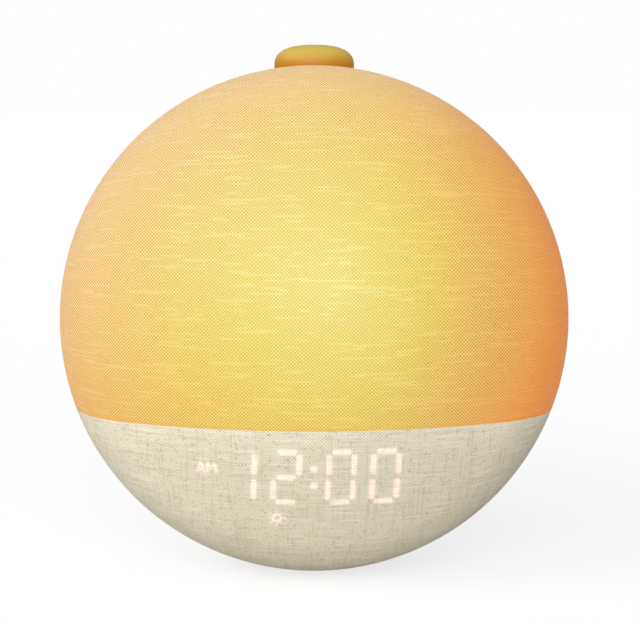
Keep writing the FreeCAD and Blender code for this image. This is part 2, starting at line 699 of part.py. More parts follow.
light_leds = new_body("light_leds")
led_spots = [("0", "0")]
for ring, count in ((1, 6), (2, 12), (3, 18)):
    for step in range(count):
        angle = math.radians(90 + 360 * (step + ring % 2 / 2) / count)
        across = f"{ring * math.cos(angle):.4f}*led_ring"
        along = f"{ring * math.sin(angle):.4f}*led_ring"
        near_screw = any(math.hypot(value(across) - value(x), value(along) - value(z)) < value("led_clear")
                         for x, z in light_posts)
        fits_board = math.hypot(value(across), value(along)) < value("light_board_radius - reflector_rim - 1")
        if value(along) > -value("light_board_drop - led_radius - 1") and fits_board and not near_screw:
            led_spots.append((across, along))
pad(light_leds, "XZ_Plane", "-light_board_front", "-light_board_front - led_height",
    *[disc(*spot, "led_radius") for spot in led_spots])
keep(light_leds)


# Display: bars of light guided to the cloth
def bar(middle, across, along, half_length, upright):
    """One bar of a digit, leaning with the digit's slant, and its four corners."""
    half = "bar_width/2"
    wide, tall = (half, half_length) if upright else (half_length, half)
    corners = []
    for x_sign, z_sign in (("-", "-"), ("", "-"), ("", ""), ("-", "")):
        height = f"({along} + {z_sign}({tall}))"
        corners.append((f"digit_row + {middle} + {across} + {x_sign}({wide}) + digit_slant*{height}",
                        f"{height} - digit_drop"))
    return outline(*corners)


BARS = [("0", "digit_height/2", False), ("0", "0", False), ("0", "-digit_height/2", False)]
BARS += [(f"{side}digit_width/2", f"{rise}digit_height/4", True) for side in ("-", "") for rise in ("-", "")]
DIGIT_MIDDLES = ("-digit_outer", "-digit_inner", "digit_inner", "digit_outer")


def digit_bars(middle):
    shapes = []
    for across, along, upright in BARS:
        length = "upright_bar/2" if upright else "flat_bar/2"
        shapes.append(bar(middle, across, along, length, upright))
    return shapes


colon_shapes = [block(f"digit_row + digit_slant*{rise}colon_half", f"{rise}colon_half - digit_drop",
                      "bar_width/2", "bar_width/2") for rise in ("", "-")]
indicator_shapes = [block("half_day_x", "-half_day_drop", "half_day_width/2", "half_day_height/2"),
                    block("alarm_x", "-alarm_drop", "alarm_size/2", "alarm_size/2")]
guide_sets = [(f"digit_{number}_light_guides", digit_bars(middle))
              for number, middle in enumerate(DIGIT_MIDDLES, start=1)]
guide_sets.append(("colon_light_guides", colon_shapes))
guide_sets.append(("indicator_light_guides", indicator_shapes))
guide_dome = dome_solid("guide_dome", "lens_out")
guide_tools = []
for label, shapes in guide_sets:
    bars = new_tool(f"{label}_bars")
    pad(bars, "XZ_Plane", "guide_back", "-front_depth", *shapes)
    guide_tools.append(bars)
    guides = joined("MultiCommon", label, [bars, guide_dome])
    place(guides)
    keep(guides)

mask_window = new_tool("mask_window")
pad(mask_window, "XZ_Plane", "-front_depth", "0",
    rectangle("-mask_half_width", "mask_half_width", "-mask_bottom", "-mask_top"))
mask_skin = new_tool("mask_skin")
dome_shell(mask_skin, "lens_out", "lens_out + mask_wall")
mask_rim = new_tool("mask_rim")
pad(mask_rim, "XZ_Plane", "-front_depth", "0",
    rectangle("-mask_half_width - mask_lip", "mask_half_width + mask_lip",
              "-mask_bottom - mask_lip", "mask_lip - mask_top"))
mask_back = new_tool("mask_back")
dome_shell(mask_back, "lens_in", "lens_out + mask_wall")
mask_blank = joined("MultiFuse", "mask_blank", [
    joined("MultiCommon", "mask_front_layer", [mask_skin, mask_window]),
    joined("MultiCommon", "mask_back_layer", [mask_back, mask_rim])])
mask = cut("display_mask", mask_blank, joined("MultiFuse", "mask_slots", guide_tools))
place(mask)
keep(mask)

display_board = new_body("display_board")
pad(display_board, "XZ_Plane", "-display_board_front", "display_board_back",
    rectangle("-mask_half_width", "mask_half_width", "-display_board_bottom", "-display_board_top"))
pocket(display_board, "XZ_Plane", "-display_board_front - 1", "display_board_back + 1",
       *[disc(*spot, "screw_radius + running_gap") for spot in display_posts])
keep(display_board)
screws("display_board_screws", "XZ_Plane", "-display_board_front", 1, display_posts,
       "board_thickness + screw_bite - 1")

display_leds = new_body("display_leds")
led_spots = [(f"digit_row + {middle} + {across} + digit_slant*({along})", f"{along} - digit_drop")
             for middle in DIGIT_MIDDLES for across, along, upright in BARS]
led_spots += [(f"digit_row", f"{rise}colon_half - digit_drop") for rise in ("", "-")]
led_spots += [("half_day_x", "-half_day_drop"), ("alarm_x", "-alarm_drop")]
pad(display_leds, "XZ_Plane", "-display_board_front", "-display_board_front - display_led_height",
    *[disc(*spot, "display_led_radius") for spot in led_spots])
keep(display_leds)

ribbon = new_body("display_ribbon")
ribbon_middle = "main_under + board_thickness/2"
pad(ribbon, "XZ_Plane", "display_board_back", "main_front",
    block("0", ribbon_middle, "ribbon_half", "ribbon_thickness/2"))
keep(ribbon)


# Rear housing
def housing_outline(inset):
    """The housing's side, its rounded edge and its flat back."""
    return [(f"housing_radius - ({inset})", "housing_front"),
            (f"housing_radius - ({inset})", "housing_straight", f"housing_round - ({inset})", 1),
            ("housing_flat", f"back_depth - ({inset})"),
            ("0", f"back_depth - ({inset})")]


housing_body = new_tool("housing_body")
turn(housing_body, "Revolution", ("0", "housing_front"), *housing_outline("0"))
turn(housing_body, "Groove", ("0", "housing_front"), *housing_outline("housing_wall"))
pad(housing_body, "XZ_Plane", "boss_meet", "inside_back + 1",
    *[disc(*spot, "boss_radius") for spot in housing_spots])
bridge_spots = [(f"{sign}bridge_post_x", "button_y") for sign in SIDES]
pad(housing_body, "XY_Plane", "bridge_top", "inside_radius",
    *[disc(*spot, "post_radius") for spot in bridge_spots])
collar = oval("button_collar", "hole_half_width + collar_wall", "hole_half_depth + collar_wall",
              "button_y", "button_seat", "housing_radius")
housing_block = joined("MultiFuse", "housing_block", [housing_body, collar])
# What stands out past the housing's skin is trimmed away
trim = new_tool("housing_trim")
turn(trim, "Revolution", ("0", "housing_front"), *housing_outline("0"))
housing_blank = joined("MultiCommon", "housing_blank", [housing_block, trim])

housing_cuts = new_tool("housing_cuts")
pad(housing_cuts, "XZ_Plane", "boss_meet + boss_floor", "back_depth + 1",
    *[disc(*spot, "well_radius") for spot in housing_spots])
pad(housing_cuts, "XZ_Plane", "boss_meet - 1", "boss_meet + boss_floor + 1",
    *[disc(*spot, "long_screw_radius + fit_gap") for spot in housing_spots])
pad(housing_cuts, "XY_Plane", "bridge_top - 1", "bridge_top + screw_bite",
    *[disc(*spot, "screw_radius + running_gap") for spot in bridge_spots])
speaker_spots = []
for quarter in range(4):
    angle = math.radians(45 + 90 * quarter)
    speaker_spots.append((f"{math.cos(angle):.4f}*speaker_screw_ring",
                          f"speaker_rise + {math.sin(angle):.4f}*speaker_screw_ring"))
pad(housing_cuts, "XZ_Plane", "inside_back - 1", "back_depth + 1", disc("0", "speaker_rise", "speaker_mouth"))
pad(housing_cuts, "XZ_Plane", "back_depth - speaker_flange", "back_depth + 2",
    disc("0", "speaker_rise", "grille_radius + snug_gap"))
pad(housing_cuts, "XZ_Plane", "inside_back - 1", "inside_back + 1",
    *[disc(*spot, "speaker_screw_radius + running_gap") for spot in speaker_spots])
inlet_middle = "-main_drop + inlet_height/2"
pad(housing_cuts, "XZ_Plane", "inside_back - 1", "back_depth + 1",
    block("0", inlet_middle, "inlet_width/2 + fit_gap", "inlet_height/2 + fit_gap"))
slot_middles = [block(f"{sign}(wheel_offset + wheel_radius/2 + 1)", "wheel_front + wheel_width/2",
                      "wheel_radius/2 + 1", "wheel_width/2 + wheel_gap") for sign in SIDES]
pad(housing_cuts, "XY_Plane", "-wheel_radius + 1", "wheel_radius - 1", *slot_middles)
slide_middle = "-slide_drop"
pad(housing_cuts, "XZ_Plane", "slide_floor", "back_depth + 1",
    block("0", slide_middle, "(slide_knob + slide_travel)/2 + 2", "slide_knob/2 + 1"))
pad(housing_cuts, "XZ_Plane", "inside_back - 1", "slide_floor + 1",
    block("0", slide_middle, "(slide_stem + slide_travel)/2 + fit_gap", "slide_stem/2 + fit_gap"))
base_spots = [(f"{sign}base_screw_x", "foot_y") for sign in SIDES]
pad(housing_cuts, "XY_Plane", "-housing_radius - 1", "base_screw_bite - inside_radius",
    *[disc(*spot, "long_screw_radius + fit_gap") for spot in base_spots])
button_hole = oval("button_hole", "hole_half_width", "hole_half_depth", "button_y", "button_seat - 1",
                   "housing_radius + 1")
housing_holes = joined("MultiFuse", "housing_holes", [housing_cuts, button_hole])
housing = cut("rear_housing", housing_blank, housing_holes)
place(housing)
keep(housing)
screws("housing_screws", "XZ_Plane", "boss_meet + boss_floor", -1, housing_spots,
       "boss_floor + long_screw_bite", ("long_screw_radius", "long_screw_head_radius", "long_screw_head"))

# Speaker, drawn about its own axis
grille = new_body("speaker_grille", up="speaker_rise")
pad(grille, "XZ_Plane", "back_depth - speaker_flange", "back_depth", disc("0", "0", "grille_radius"))
for ring in range(5):
    count = max(6 * ring, 1)
    holes = []
    for step in range(count):
        angle = 2 * math.pi * step / count
        holes.append(disc(f"{ring * math.cos(angle):.4f}*grille_pitch",
                          f"{ring * math.sin(angle):.4f}*grille_pitch", "grille_hole"))
    pocket(grille, "XZ_Plane", "back_depth - speaker_flange - 1", "back_depth + 1", *holes)
keep(grille)

turned_spots = [(across, along.replace("speaker_rise + ", "")) for across, along in speaker_spots]
speaker_bores = [disc(*spot, "speaker_screw_radius + running_gap") for spot in turned_spots]
gasket = new_body("speaker_gasket", up="speaker_rise")
pad(gasket, "XZ_Plane", "gasket_front", "inside_back", disc("0", "0", "speaker_radius"),
    disc("0", "0", "speaker_mouth + fit_gap"))
pocket(gasket, "XZ_Plane", "gasket_front - 1", "inside_back + 1", *speaker_bores)
keep(gasket)

basket = new_body("speaker_frame", up="speaker_rise")
turn(basket, "Revolution",
     ("speaker_mouth", "speaker_front + speaker_flange"),
     ("speaker_mouth", "speaker_front"),
     ("speaker_mouth - basket_wall/2", "speaker_front"),
     ("speaker_neck + 2*basket_wall", "basket_floor"),
     ("speaker_neck", "basket_floor"),
     ("speaker_neck", "basket_back"),
     ("magnet_radius - basket_wall", "basket_back"),
     ("speaker_mouth + basket_wall", "speaker_front - basket_wall"),
     ("speaker_mouth + basket_wall", "speaker_front"),
     ("speaker_radius", "speaker_front"),
     ("speaker_radius", "speaker_front + speaker_flange"))
pocket(basket, "XZ_Plane", "speaker_front - 1", "speaker_front + speaker_flange + 1", *speaker_bores)
keep(basket)

magnet = new_body("speaker_magnet", up="speaker_rise")
turn(magnet, "Revolution",
     ("0", "basket_back - magnet_depth"),
     ("magnet_radius", "basket_back - magnet_depth"),
     ("magnet_radius", "basket_back"),
     ("speaker_neck - fit_gap", "basket_back"),
     ("speaker_neck - fit_gap", "basket_back + pole_height"),
     ("0", "basket_back + pole_height"))
keep(magnet)

cone = new_body("speaker_cone", up="speaker_rise")
turn(cone, "Revolution",
     ("speaker_mouth - surround_width", "speaker_front"),
     ("speaker_mouth - surround_width - cone_wall", "speaker_front"),
     ("speaker_neck", "speaker_front - cone_depth"),
     ("speaker_neck + cone_wall", "speaker_front - cone_depth"))
keep(cone)

surround = new_body("speaker_surround", up="speaker_rise")
turn(surround, "Revolution",
     ("speaker_mouth - surround_width", "speaker_front"),
     ("speaker_mouth", "speaker_front"),
     ("speaker_mouth", "speaker_front + cone_wall"),
     ("speaker_mouth - cone_wall", "speaker_front + cone_wall", "surround_width*0.4", 1),
     ("speaker_mouth - surround_width + cone_wall", "speaker_front + cone_wall"),
     ("speaker_mouth - surround_width", "speaker_front + cone_wall"))
keep(surround)

dust_cap = new_body("speaker_dust_cap", up="speaker_rise")
cap_level = "speaker_front - cone_depth"
turn(dust_cap, "Revolution",
     ("0", f"{cap_level} + speaker_neck/3"),
     ("0", f"{cap_level} + speaker_neck/3 - cone_wall"),
     ("speaker_neck - cone_wall", f"{cap_level}"),
     ("speaker_neck", f"{cap_level}"))
keep(dust_cap)
screws("speaker_screws", "XZ_Plane", "speaker_front", 1, speaker_spots,
       "speaker_flange + gasket_thickness + speaker_screw_bite",
       ("speaker_screw_radius", "speaker_screw_head", "screw_head_height"))

# Main board on the frame's ledges, and the power inlet at its rear edge
main_board = new_body("main_board")
pad(main_board, "XY_Plane", "main_under", "-main_drop",
    rectangle("-main_half", "main_half", "main_front", "main_back"))
pocket(main_board, "XY_Plane", "main_under - 1", "1 - main_drop",
       *[disc(*spot, "screw_radius + running_gap") for spot in main_spots])
keep(main_board)
screws("main_board_screws", "XY_Plane", "-main_drop", -1, main_spots, "board_thickness + screw_bite - 1")

components = new_body("main_board_components")
# Across, behind the board's front edge, half width, half depth and height, in steps of the grid
CHIPS = [("-14", "15", "5", "5", "1.2"), ("2", "19", "6", "4", "2.6"), ("17", "17", "3", "4", "3"),
         ("-20", "29", "4", "3", "4"), ("20", "28", "3", "3", "5")]
for across, along, half_width, half_depth, height in CHIPS:
    pad(components, "XY_Plane", "-main_drop", f"{height}*board_grid - main_drop",
        block(f"{across}*board_grid", f"main_front + {along}*board_grid", f"{half_width}*board_grid",
              f"{half_depth}*board_grid"))
keep(components)

inlet = new_body("power_inlet")
inlet_front = "back_depth - fit_gap - inlet_depth"
pad(inlet, "XZ_Plane", inlet_front, "back_depth - fit_gap",
    block("0", inlet_middle, "inlet_width/2", "inlet_height/2"))
pocket(inlet, "XZ_Plane", "back_depth", f"{inlet_front} + 1",
       block("0", inlet_middle, "inlet_width/2 - inlet_wall", "inlet_height/2 - inlet_wall"))
keep(inlet)
tongue = new_body("power_inlet_tongue")
pad(tongue, "XZ_Plane", f"{inlet_front} + 1", "back_depth - fit_gap - tongue_recess",
    block("0", inlet_middle, "inlet_width/2 - tongue_side", "tongue_thickness/2"))
keep(tongue)

# Thumbwheels: brightness on one side and volume on the other
for name, sign in (("brightness", "-"), ("volume", "")):
    offset = f"{sign}wheel_offset"
    wheel = new_body(f"{name}_wheel", right=offset)
    turn(wheel, "Revolution",
         ("shaft_radius + running_gap/2", "wheel_front"),
         ("wheel_radius - 1", "wheel_front"),
         ("wheel_radius", "wheel_front + 1"),
         ("wheel_radius", "wheel_back - 1"),
         ("wheel_radius - 1", "wheel_back"),
         ("shaft_radius + running_gap/2", "wheel_back"))
    groove = pocket(wheel, "XZ_Plane", "wheel_front - 1", "wheel_back + 1",
                    disc("0", "wheel_radius + knurl_radius/2", "knurl_radius"))
    knurl = wheel.newObject("PartDesign::PolarPattern", f"{name}_knurl")
    knurl.Originals = [groove]
    knurl.Axis = (groove.Profile[0], ["N_Axis"])
    knurl.Angle = 360
    knurl.Occurrences = 36
    knurl.Refine = False
    wheel.Tip = knurl
    keep(wheel)

    shaft = new_body(f"{name}_shaft", right=offset)
    pad(shaft, "XZ_Plane", "encoder_front + 1", "wheel_back - wheel_gap", disc("0", "0", "shaft_radius"))
    keep(shaft)

    encoder = new_body(f"{name}_encoder", right=offset)
    neck_end = "encoder_front + encoder_depth + encoder_neck"
    pad(encoder, "XZ_Plane", "encoder_front", "encoder_front + encoder_depth",
        block("0", "0", "encoder_half", "encoder_half"))
    pad(encoder, "XZ_Plane", "encoder_front + encoder_depth", neck_end,
        disc("0", "0", "encoder_neck_radius"))
    pocket(encoder, "XZ_Plane", f"{neck_end} + 1", "encoder_front + 1 - fit_gap",
           disc("0", "0", "shaft_radius + running_gap"))
    keep(encoder)

    board = new_body(f"{name}_board", right=offset)
    pad(board, "XZ_Plane", "encoder_board_front", "encoder_front",
        block("0", "0", "encoder_board_half_width", "encoder_board_half_height"))
    pocket(board, "XZ_Plane", "encoder_board_front - 1", "encoder_front + 1",
           *[disc("0", f"{rise}encoder_post", "screw_radius + running_gap") for rise in ("", "-")])
    keep(board)
screws("encoder_board_screws", "XZ_Plane", "encoder_front", -1, encoder_posts,
       "board_thickness + screw_bite - 1")

# Button: a pebble with a skirt, a lip that holds it under the housing's collar, and a stem
CROWN_STEPS = (0, 0.25, 0.45, 0.62, 0.76, 0.87, 0.95, 0.99)
crown_rims = []
for step, rise in enumerate(CROWN_STEPS):
    # The crown's side view is a rounded square that flattens towards its top
    share = (1 - rise**2.5) ** (1 / 2.5)
    rim = doc.addObject("Part::Ellipse", f"crown_rim_{step}")
    bind(rim, "MajorRadius", f"button_half_width*{share:.5f}")
    bind(rim, "MinorRadius", f"button_half_depth*{share:.5f}")
    bind(rim, "Placement.Base.y", "button_y")
    bind(rim, "Placement.Base.z", f"button_shoulder + button_crown*{rise}")
    crown_rims.append(rim)
crown = doc.addObject("Part::Loft", "button_crown_loft")
crown.Sections = crown_rims
crown.Solid = True
crown.Ruled = False
skirt = oval("button_skirt", "button_half_width", "button_half_depth", "button_y", "button_seat",
             "button_shoulder")
lip = oval("button_lip_plate", "button_half_width + button_lip", "button_half_depth + button_lip",
           "button_y", "button_seat - button_lip_height", "button_seat")
hollow = oval("button_hollow", "button_half_width - button_wall", "button_half_depth - button_wall",
              "button_y", "button_seat - button_lip_height - 1", "cap_roof")
stem = new_tool("button_stem")
pad(stem, "XY_Plane", "stem_end", "cap_roof + 1", disc("0", "button_y", "stem_radius"))
cap_blank = cut("button_cap_blank", joined("MultiFuse", "button_solid", [crown, skirt, lip]), hollow)
cap = joined("MultiFuse", "button_cap", [cap_blank, stem])
place(cap)
keep(cap)

bridge = new_body("button_bridge")
button_axis = ("0", "button_y")
pad(bridge, "XY_Plane", "bridge_top - bridge_thickness", "bridge_top",
    block("0", "button_y", "bridge_half_width", "bridge_half_depth"))
pad(bridge, "XY_Plane", "bridge_top", "bridge_top + bush_height", disc(*button_axis, "bush_radius"))
board_spots = [(f"{sign}button_board_post_x", "button_y") for sign in SIDES]
pad(bridge, "XY_Plane", "bridge_top - bridge_thickness", "button_board_top",
    *[disc(*spot, "post_radius") for spot in board_spots])
pocket(bridge, "XY_Plane", "bridge_top + bush_height + 1", "bridge_top - bridge_thickness - 1",
       disc(*button_axis, "stem_radius + running_gap"))
pocket(bridge, "XY_Plane", "bridge_top + 1", "bridge_top - bridge_thickness - 1",
       *[disc(*spot, "screw_radius + running_gap") for spot in bridge_spots])
pocket(bridge, "XY_Plane", "button_board_top", "button_board_top + screw_bite",
       *[disc(*spot, "screw_radius + running_gap") for spot in board_spots])
keep(bridge)
screws("button_bridge_screws", "XY_Plane", "bridge_top - bridge_thickness", 1, bridge_spots,
       "bridge_thickness + screw_bite - 1")

spring = new_body("button_spring", back="button_y", up="bridge_top + spring_wire")
wire_end = sketch_on(spring, "XZ_Plane", "0", "spring_wire_end",
                     [disc("spring_radius", "0", "spring_wire")])
coil = spring.newObject("PartDesign::AdditiveHelix", "spring_coil")
coil.Profile = wire_end
coil.ReferenceAxis = (wire_end, ["V_Axis"])
coil.Mode = "height-turns-angle"
bind(coil, "Height", "cap_roof - bridge_top - 2*spring_wire")
bind(coil, "Turns", "spring_turns")
keep(spring)

button_board = new_body("button_board")
pad(button_board, "XY_Plane", "button_board_top - board_thickness", "button_board_top",
    block("0", "button_y", "button_board_half_width", "button_board_half_depth"))
pocket(button_board, "XY_Plane", "button_board_top + 1", "button_board_top - board_thickness - 1",
       *[disc(*spot, "screw_radius + running_gap") for spot in board_spots])
keep(button_board)
screws("button_board_screws", "XY_Plane", "button_board_top - board_thickness", 1, board_spots,
       "board_thickness + screw_bite - 1")

tact = new_body("button_switch")
pad(tact, "XY_Plane", "button_board_top", "tact_top", block("0", "button_y", "tact_half", "tact_half"))
pocket(tact, "XY_Plane", "tact_top + 1", "tact_top - plunger_sink - plunger_travel - fit_gap",
       disc(*button_axis, "plunger_radius + running_gap"))
keep(tact)
plunger = new_body("button_plunger")
pad(plunger, "XY_Plane", "tact_top - plunger_sink", "plunger_top", disc(*button_axis, "plunger_radius"))
keep(plunger)

# Alarm switch in a shallow recess of the back, at rest at the left end of its travel
slide_body = new_body("alarm_switch_body")
pad(slide_body, "XZ_Plane", "inside_back", "inside_back - slide_body_depth",
    block("0", slide_middle, "slide_body_half", "slide_body_height/2"))
pocket(slide_body, "XZ_Plane", "inside_back + 1", "inside_back - 2",
       block("0", slide_middle, "(slide_stem + slide_travel)/2 + fit_gap", "slide_stem/2 + fit_gap"))
keep(slide_body)
knob = new_body("alarm_switch_knob")
knob_middle = "-slide_travel/2"
pad(knob, "XZ_Plane", "slide_floor + snug_gap", "back_depth - snug_gap",
    block(knob_middle, slide_middle, "slide_knob/2", "slide_knob/2"))
pad(knob, "XZ_Plane", "slide_floor + snug_gap", "inside_back - 2 + fit_gap",
    block(knob_middle, slide_middle, "slide_stem/2", "slide_stem/2"))
ridges = [block(f"{knob_middle} + ({step}*slide_knob/6)", slide_middle, "slide_knob/30", "slide_knob/2 + 1")
          for step in (-2, -1, 0, 1, 2)]
pocket(knob, "XZ_Plane", "back_depth", "back_depth - ridge_depth", *ridges)
keep(knob)

# Foot, pad and weight
foot_block = oval("foot_block", "foot_half_width", "foot_half_depth", "foot_y", "foot_bottom",
                  "foot_bottom + housing_radius/4")
housing_envelope = new_tool("housing_envelope")
turn(housing_envelope, "Revolution", ("0", "housing_front"), *housing_outline("-snug_gap"))
foot_holes = new_tool("foot_holes")
head_seat = "foot_bottom + long_screw_head"
pad(foot_holes, "XY_Plane", "foot_bottom - 1", head_seat,
    *[disc(*spot, "long_screw_head_radius + fit_gap") for spot in base_spots])
pad(foot_holes, "XY_Plane", "foot_bottom", "base_screw_bite - inside_radius",
    *[disc(*spot, "long_screw_radius + fit_gap") for spot in base_spots])
foot = cut("base_foot", foot_block, joined("MultiFuse", "foot_cuts", [housing_envelope, foot_holes]))
place(foot)
keep(foot)

pad_oval = oval("base_pad", "foot_half_width - pad_inset", "foot_half_depth - pad_inset", "foot_y",
                "-centre_up", "foot_bottom")
place(pad_oval)
keep(pad_oval)

weight_block = new_tool("weight_block")
pad(weight_block, "XY_Plane", "-inside_radius", "weight_height - inside_radius",
    rectangle("-weight_half_width", "weight_half_width", "weight_front", "weight_front + weight_depth"))
pocket(weight_block, "XY_Plane", "-inside_radius - 1", "weight_height - inside_radius - 2",
       *[disc(*spot, "long_screw_radius + running_gap") for spot in base_spots])
inside_envelope = new_tool("inside_envelope")
turn(inside_envelope, "Revolution", ("0", "housing_front"), *housing_outline("housing_wall + fit_gap"))
weight = joined("MultiCommon", "base_weight", [weight_block, inside_envelope])
place(weight)
keep(weight)
screws("base_screws", "XY_Plane", head_seat, 1, base_spots,
       f"-inside_radius - ({head_seat}) + base_screw_bite",
       ("long_screw_radius", "long_screw_head_radius", "long_screw_head"))


# Leads between the boards
def lead(points):
    """A round lead along straight runs with rounded corners."""
    radius = value("lead_radius")
    bend = value("lead_bend")
    corners = [FreeCAD.Vector(*[value(part) for part in point]) for point in points]
    edges = []
    start = corners[0]
    for before, here, after in zip(corners, corners[1:], corners[2:]):
        towards = (before - here).normalize()
        away = (after - here).normalize()
        half_turn = towards.getAngle(away) / 2
        reach = bend / math.tan(half_turn)
        first = here + towards * reach
        last = here + away * reach
        bisector = (towards + away).normalize()
        middle = here + bisector * (bend / math.sin(half_turn) - bend)
        edges.append(Part.LineSegment(start, first).toShape())
        edges.append(Part.Arc(first, middle, last).toShape())
        start = last
    edges.append(Part.LineSegment(start, corners[-1]).toShape())
    path = Part.Wire(edges)
    ring = Part.Wire(Part.makeCircle(radius, corners[0], corners[1] - corners[0]))
    tube = path.makePipeShell([ring], True, False)
    expected = math.pi * radius**2 * path.Length
    print("lead", round(path.Length, 1), "mm, volume off by", round(abs(tube.Volume / expected - 1), 5))
    return tube


edge_height = "main_under + board_thickness/2"
encoder_middle = "encoder_board_front + board_thickness/2"
button_lead = [("button_lead_x", "button_y - button_lead_ahead", level)
               for level in ("button_board_top - board_thickness", "-main_drop")]
speaker_lead_z = "speaker_rise - speaker_lead_drop"
slide_lead = [("lead_radius + 0.5 - slide_body_half", "inside_back - slide_body_depth/2", level)
              for level in ("-slide_drop - slide_body_height/2", "-main_drop")]
routes = [
    [("0", "light_board_back", "-light_post_down"), ("0", "encoder_board_front", "-light_post_down"),
     ("0", "encoder_board_front", "-main_drop")],
    button_lead,
    [("speaker_lead_x", "speaker_front", speaker_lead_z),
     ("speaker_lead_x", "speaker_front - speaker_lead_out", speaker_lead_z),
     ("speaker_lead_x", "speaker_front - speaker_lead_out", "-main_drop")],
    slide_lead,
]
for sign in SIDES:
    beside = f"{sign}(wheel_offset - encoder_lead_in)"
    routes.append([(beside, encoder_middle, "-encoder_board_half_height"),
                   (beside, encoder_middle, "-encoder_board_half_height - encoder_lead_down"),
                   (f"{sign}(main_half + encoder_lead_aside)", encoder_middle, edge_height),
                   (f"{sign}main_half", encoder_middle, edge_height)])
leads = doc.addObject("Part::Feature", "internal_leads")
leads.Shape = Part.makeCompound([lead(route) for route in routes])
place(leads)
keep(leads)

# Build, check and write
doc.recompute()
for item in doc.Objects:
    if "Invalid" in item.State or "Error" in item.State:
        raise RuntimeError(f"{item.Label} did not build: {item.State}")
for label, piece in pieces.items():
    shape = piece.Shape
    if shape.isNull() or not shape.isValid() or not shape.Solids:
        raise RuntimeError(f"{label} has no sound shape")

os.makedirs("parts", exist_ok=True)
for label, piece in pieces.items():
    piece.Shape.exportStep(f"parts/{label}.step")
    print(f"{label}: {len(piece.Shape.Solids)} solids, {piece.Shape.Volume / 1000:.2f} cm3")
print(len(pieces), "pieces")
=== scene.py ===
# %% [markdown]
# # A sunrise alarm clock
#
# This lesson dresses a finished construction model of a bedside clock. The clock is a flattened dome
# covered in woven cloth. A light glows through the cloth above a level seam, and the time shines
# through it below. A button sits on top, and a rounded plastic housing closes the back.
#
# The construction model already holds every solid piece in its place. Blender adds the cloth, the
# finishes, the glow, a table to stand on and the studio light.

# %% Load the construction model
import json
import math

import bpy
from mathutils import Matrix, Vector


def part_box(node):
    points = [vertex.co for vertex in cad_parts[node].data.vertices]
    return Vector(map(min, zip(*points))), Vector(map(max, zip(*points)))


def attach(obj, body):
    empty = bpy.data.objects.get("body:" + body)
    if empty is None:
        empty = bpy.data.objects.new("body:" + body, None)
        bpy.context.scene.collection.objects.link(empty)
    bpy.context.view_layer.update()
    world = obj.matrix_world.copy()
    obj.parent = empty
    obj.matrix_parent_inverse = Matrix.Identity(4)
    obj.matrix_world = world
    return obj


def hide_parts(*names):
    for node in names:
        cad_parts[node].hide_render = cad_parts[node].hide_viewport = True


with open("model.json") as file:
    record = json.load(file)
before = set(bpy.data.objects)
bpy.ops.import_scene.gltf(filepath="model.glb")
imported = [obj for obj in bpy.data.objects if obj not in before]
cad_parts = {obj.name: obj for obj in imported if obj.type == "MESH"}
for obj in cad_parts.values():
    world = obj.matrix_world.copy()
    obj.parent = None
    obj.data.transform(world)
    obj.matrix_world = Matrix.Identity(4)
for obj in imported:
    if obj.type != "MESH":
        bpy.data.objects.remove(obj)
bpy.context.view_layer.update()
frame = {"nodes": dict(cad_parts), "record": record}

# %% [markdown]
# ## Colours as the photographer shows them
#
# Blender's usual view darkens and greys the brightest colours, as film does. A shop's photograph keeps its
# white paper white and the glow yellow, so the plain view suits this scene better.

# %% Choose the plain colour view
bpy.context.scene.view_settings.view_transform = "Standard"
print("colours are shown by the view", bpy.context.scene.view_settings.view_transform)

# %% [markdown]
# ## Shared places
#
# The whole clock is round about one line that runs from front to back. Its height above the table and
# the widest circle's distance behind the origin come from the construction model, so a few named
# numbers place everything that follows.

# %% Name the clock's main places
MM = 0.001
CENTRE = Vector((0, 2 * MM, 101 * MM))
SEAM = CENTRE.z - 33.3 * MM
low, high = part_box("fabric_cover")
print("cloth is", round((high.x - low.x) / MM, 1), "mm wide and", round((high.y - low.y) / MM, 1), "mm deep")


# %% [markdown]
# ## The camera
#
# A product is photographed with a long lens from a little above, so that it keeps its shape. The camera
# stands 60 cm away and looks down by eight degrees. Its small shift moves the clock to the left of the
# middle without turning the camera.

# %% Place the camera
def deselect_all():
    """An operator works on all that is selected, so each step starts with nothing selected."""
    if bpy.context.mode != "OBJECT":
        bpy.ops.object.mode_set(mode="OBJECT")
    bpy.ops.object.select_all(action="DESELECT")


deselect_all()
STANDS_AT = (0, -0.5917, 0.1876)
LOOKS_DOWN = 7.94
LENS = 85.4
SENSOR = 36
SHIFT = 0.0091
bpy.ops.object.camera_add(location=STANDS_AT, rotation=(math.radians(90 - LOOKS_DOWN), 0, 0))
camera = bpy.context.object
camera.name = "photo_camera"
camera.data.lens = LENS
camera.data.sensor_width = SENSOR
camera.data.shift_x = SHIFT
bpy.context.scene.camera = camera
print("camera is", round((camera.location - CENTRE).length, 3), "m from the middle of the clock")

# %% [markdown]
# ## Table and studio light
#
# The clock stands on a white table that runs on without an edge. A studio gets that look by lighting
# white paper until it is almost pure white, so that only the soft shadows stay visible. A very large
# disc and two suns do it here, because a sun lights near and far parts of the table alike. The key
# light comes from the left, so the clock's right side is darker and its shadow falls to the right.

# %% Lay the table
deselect_all()
TABLE_RADIUS = 30
bpy.ops.mesh.primitive_circle_add(vertices=96, radius=TABLE_RADIUS, fill_type="TRIFAN", location=(0, 0, 0))
table = bpy.context.object
table.name = "table"
print("table is", round(table.dimensions.x), "m across")


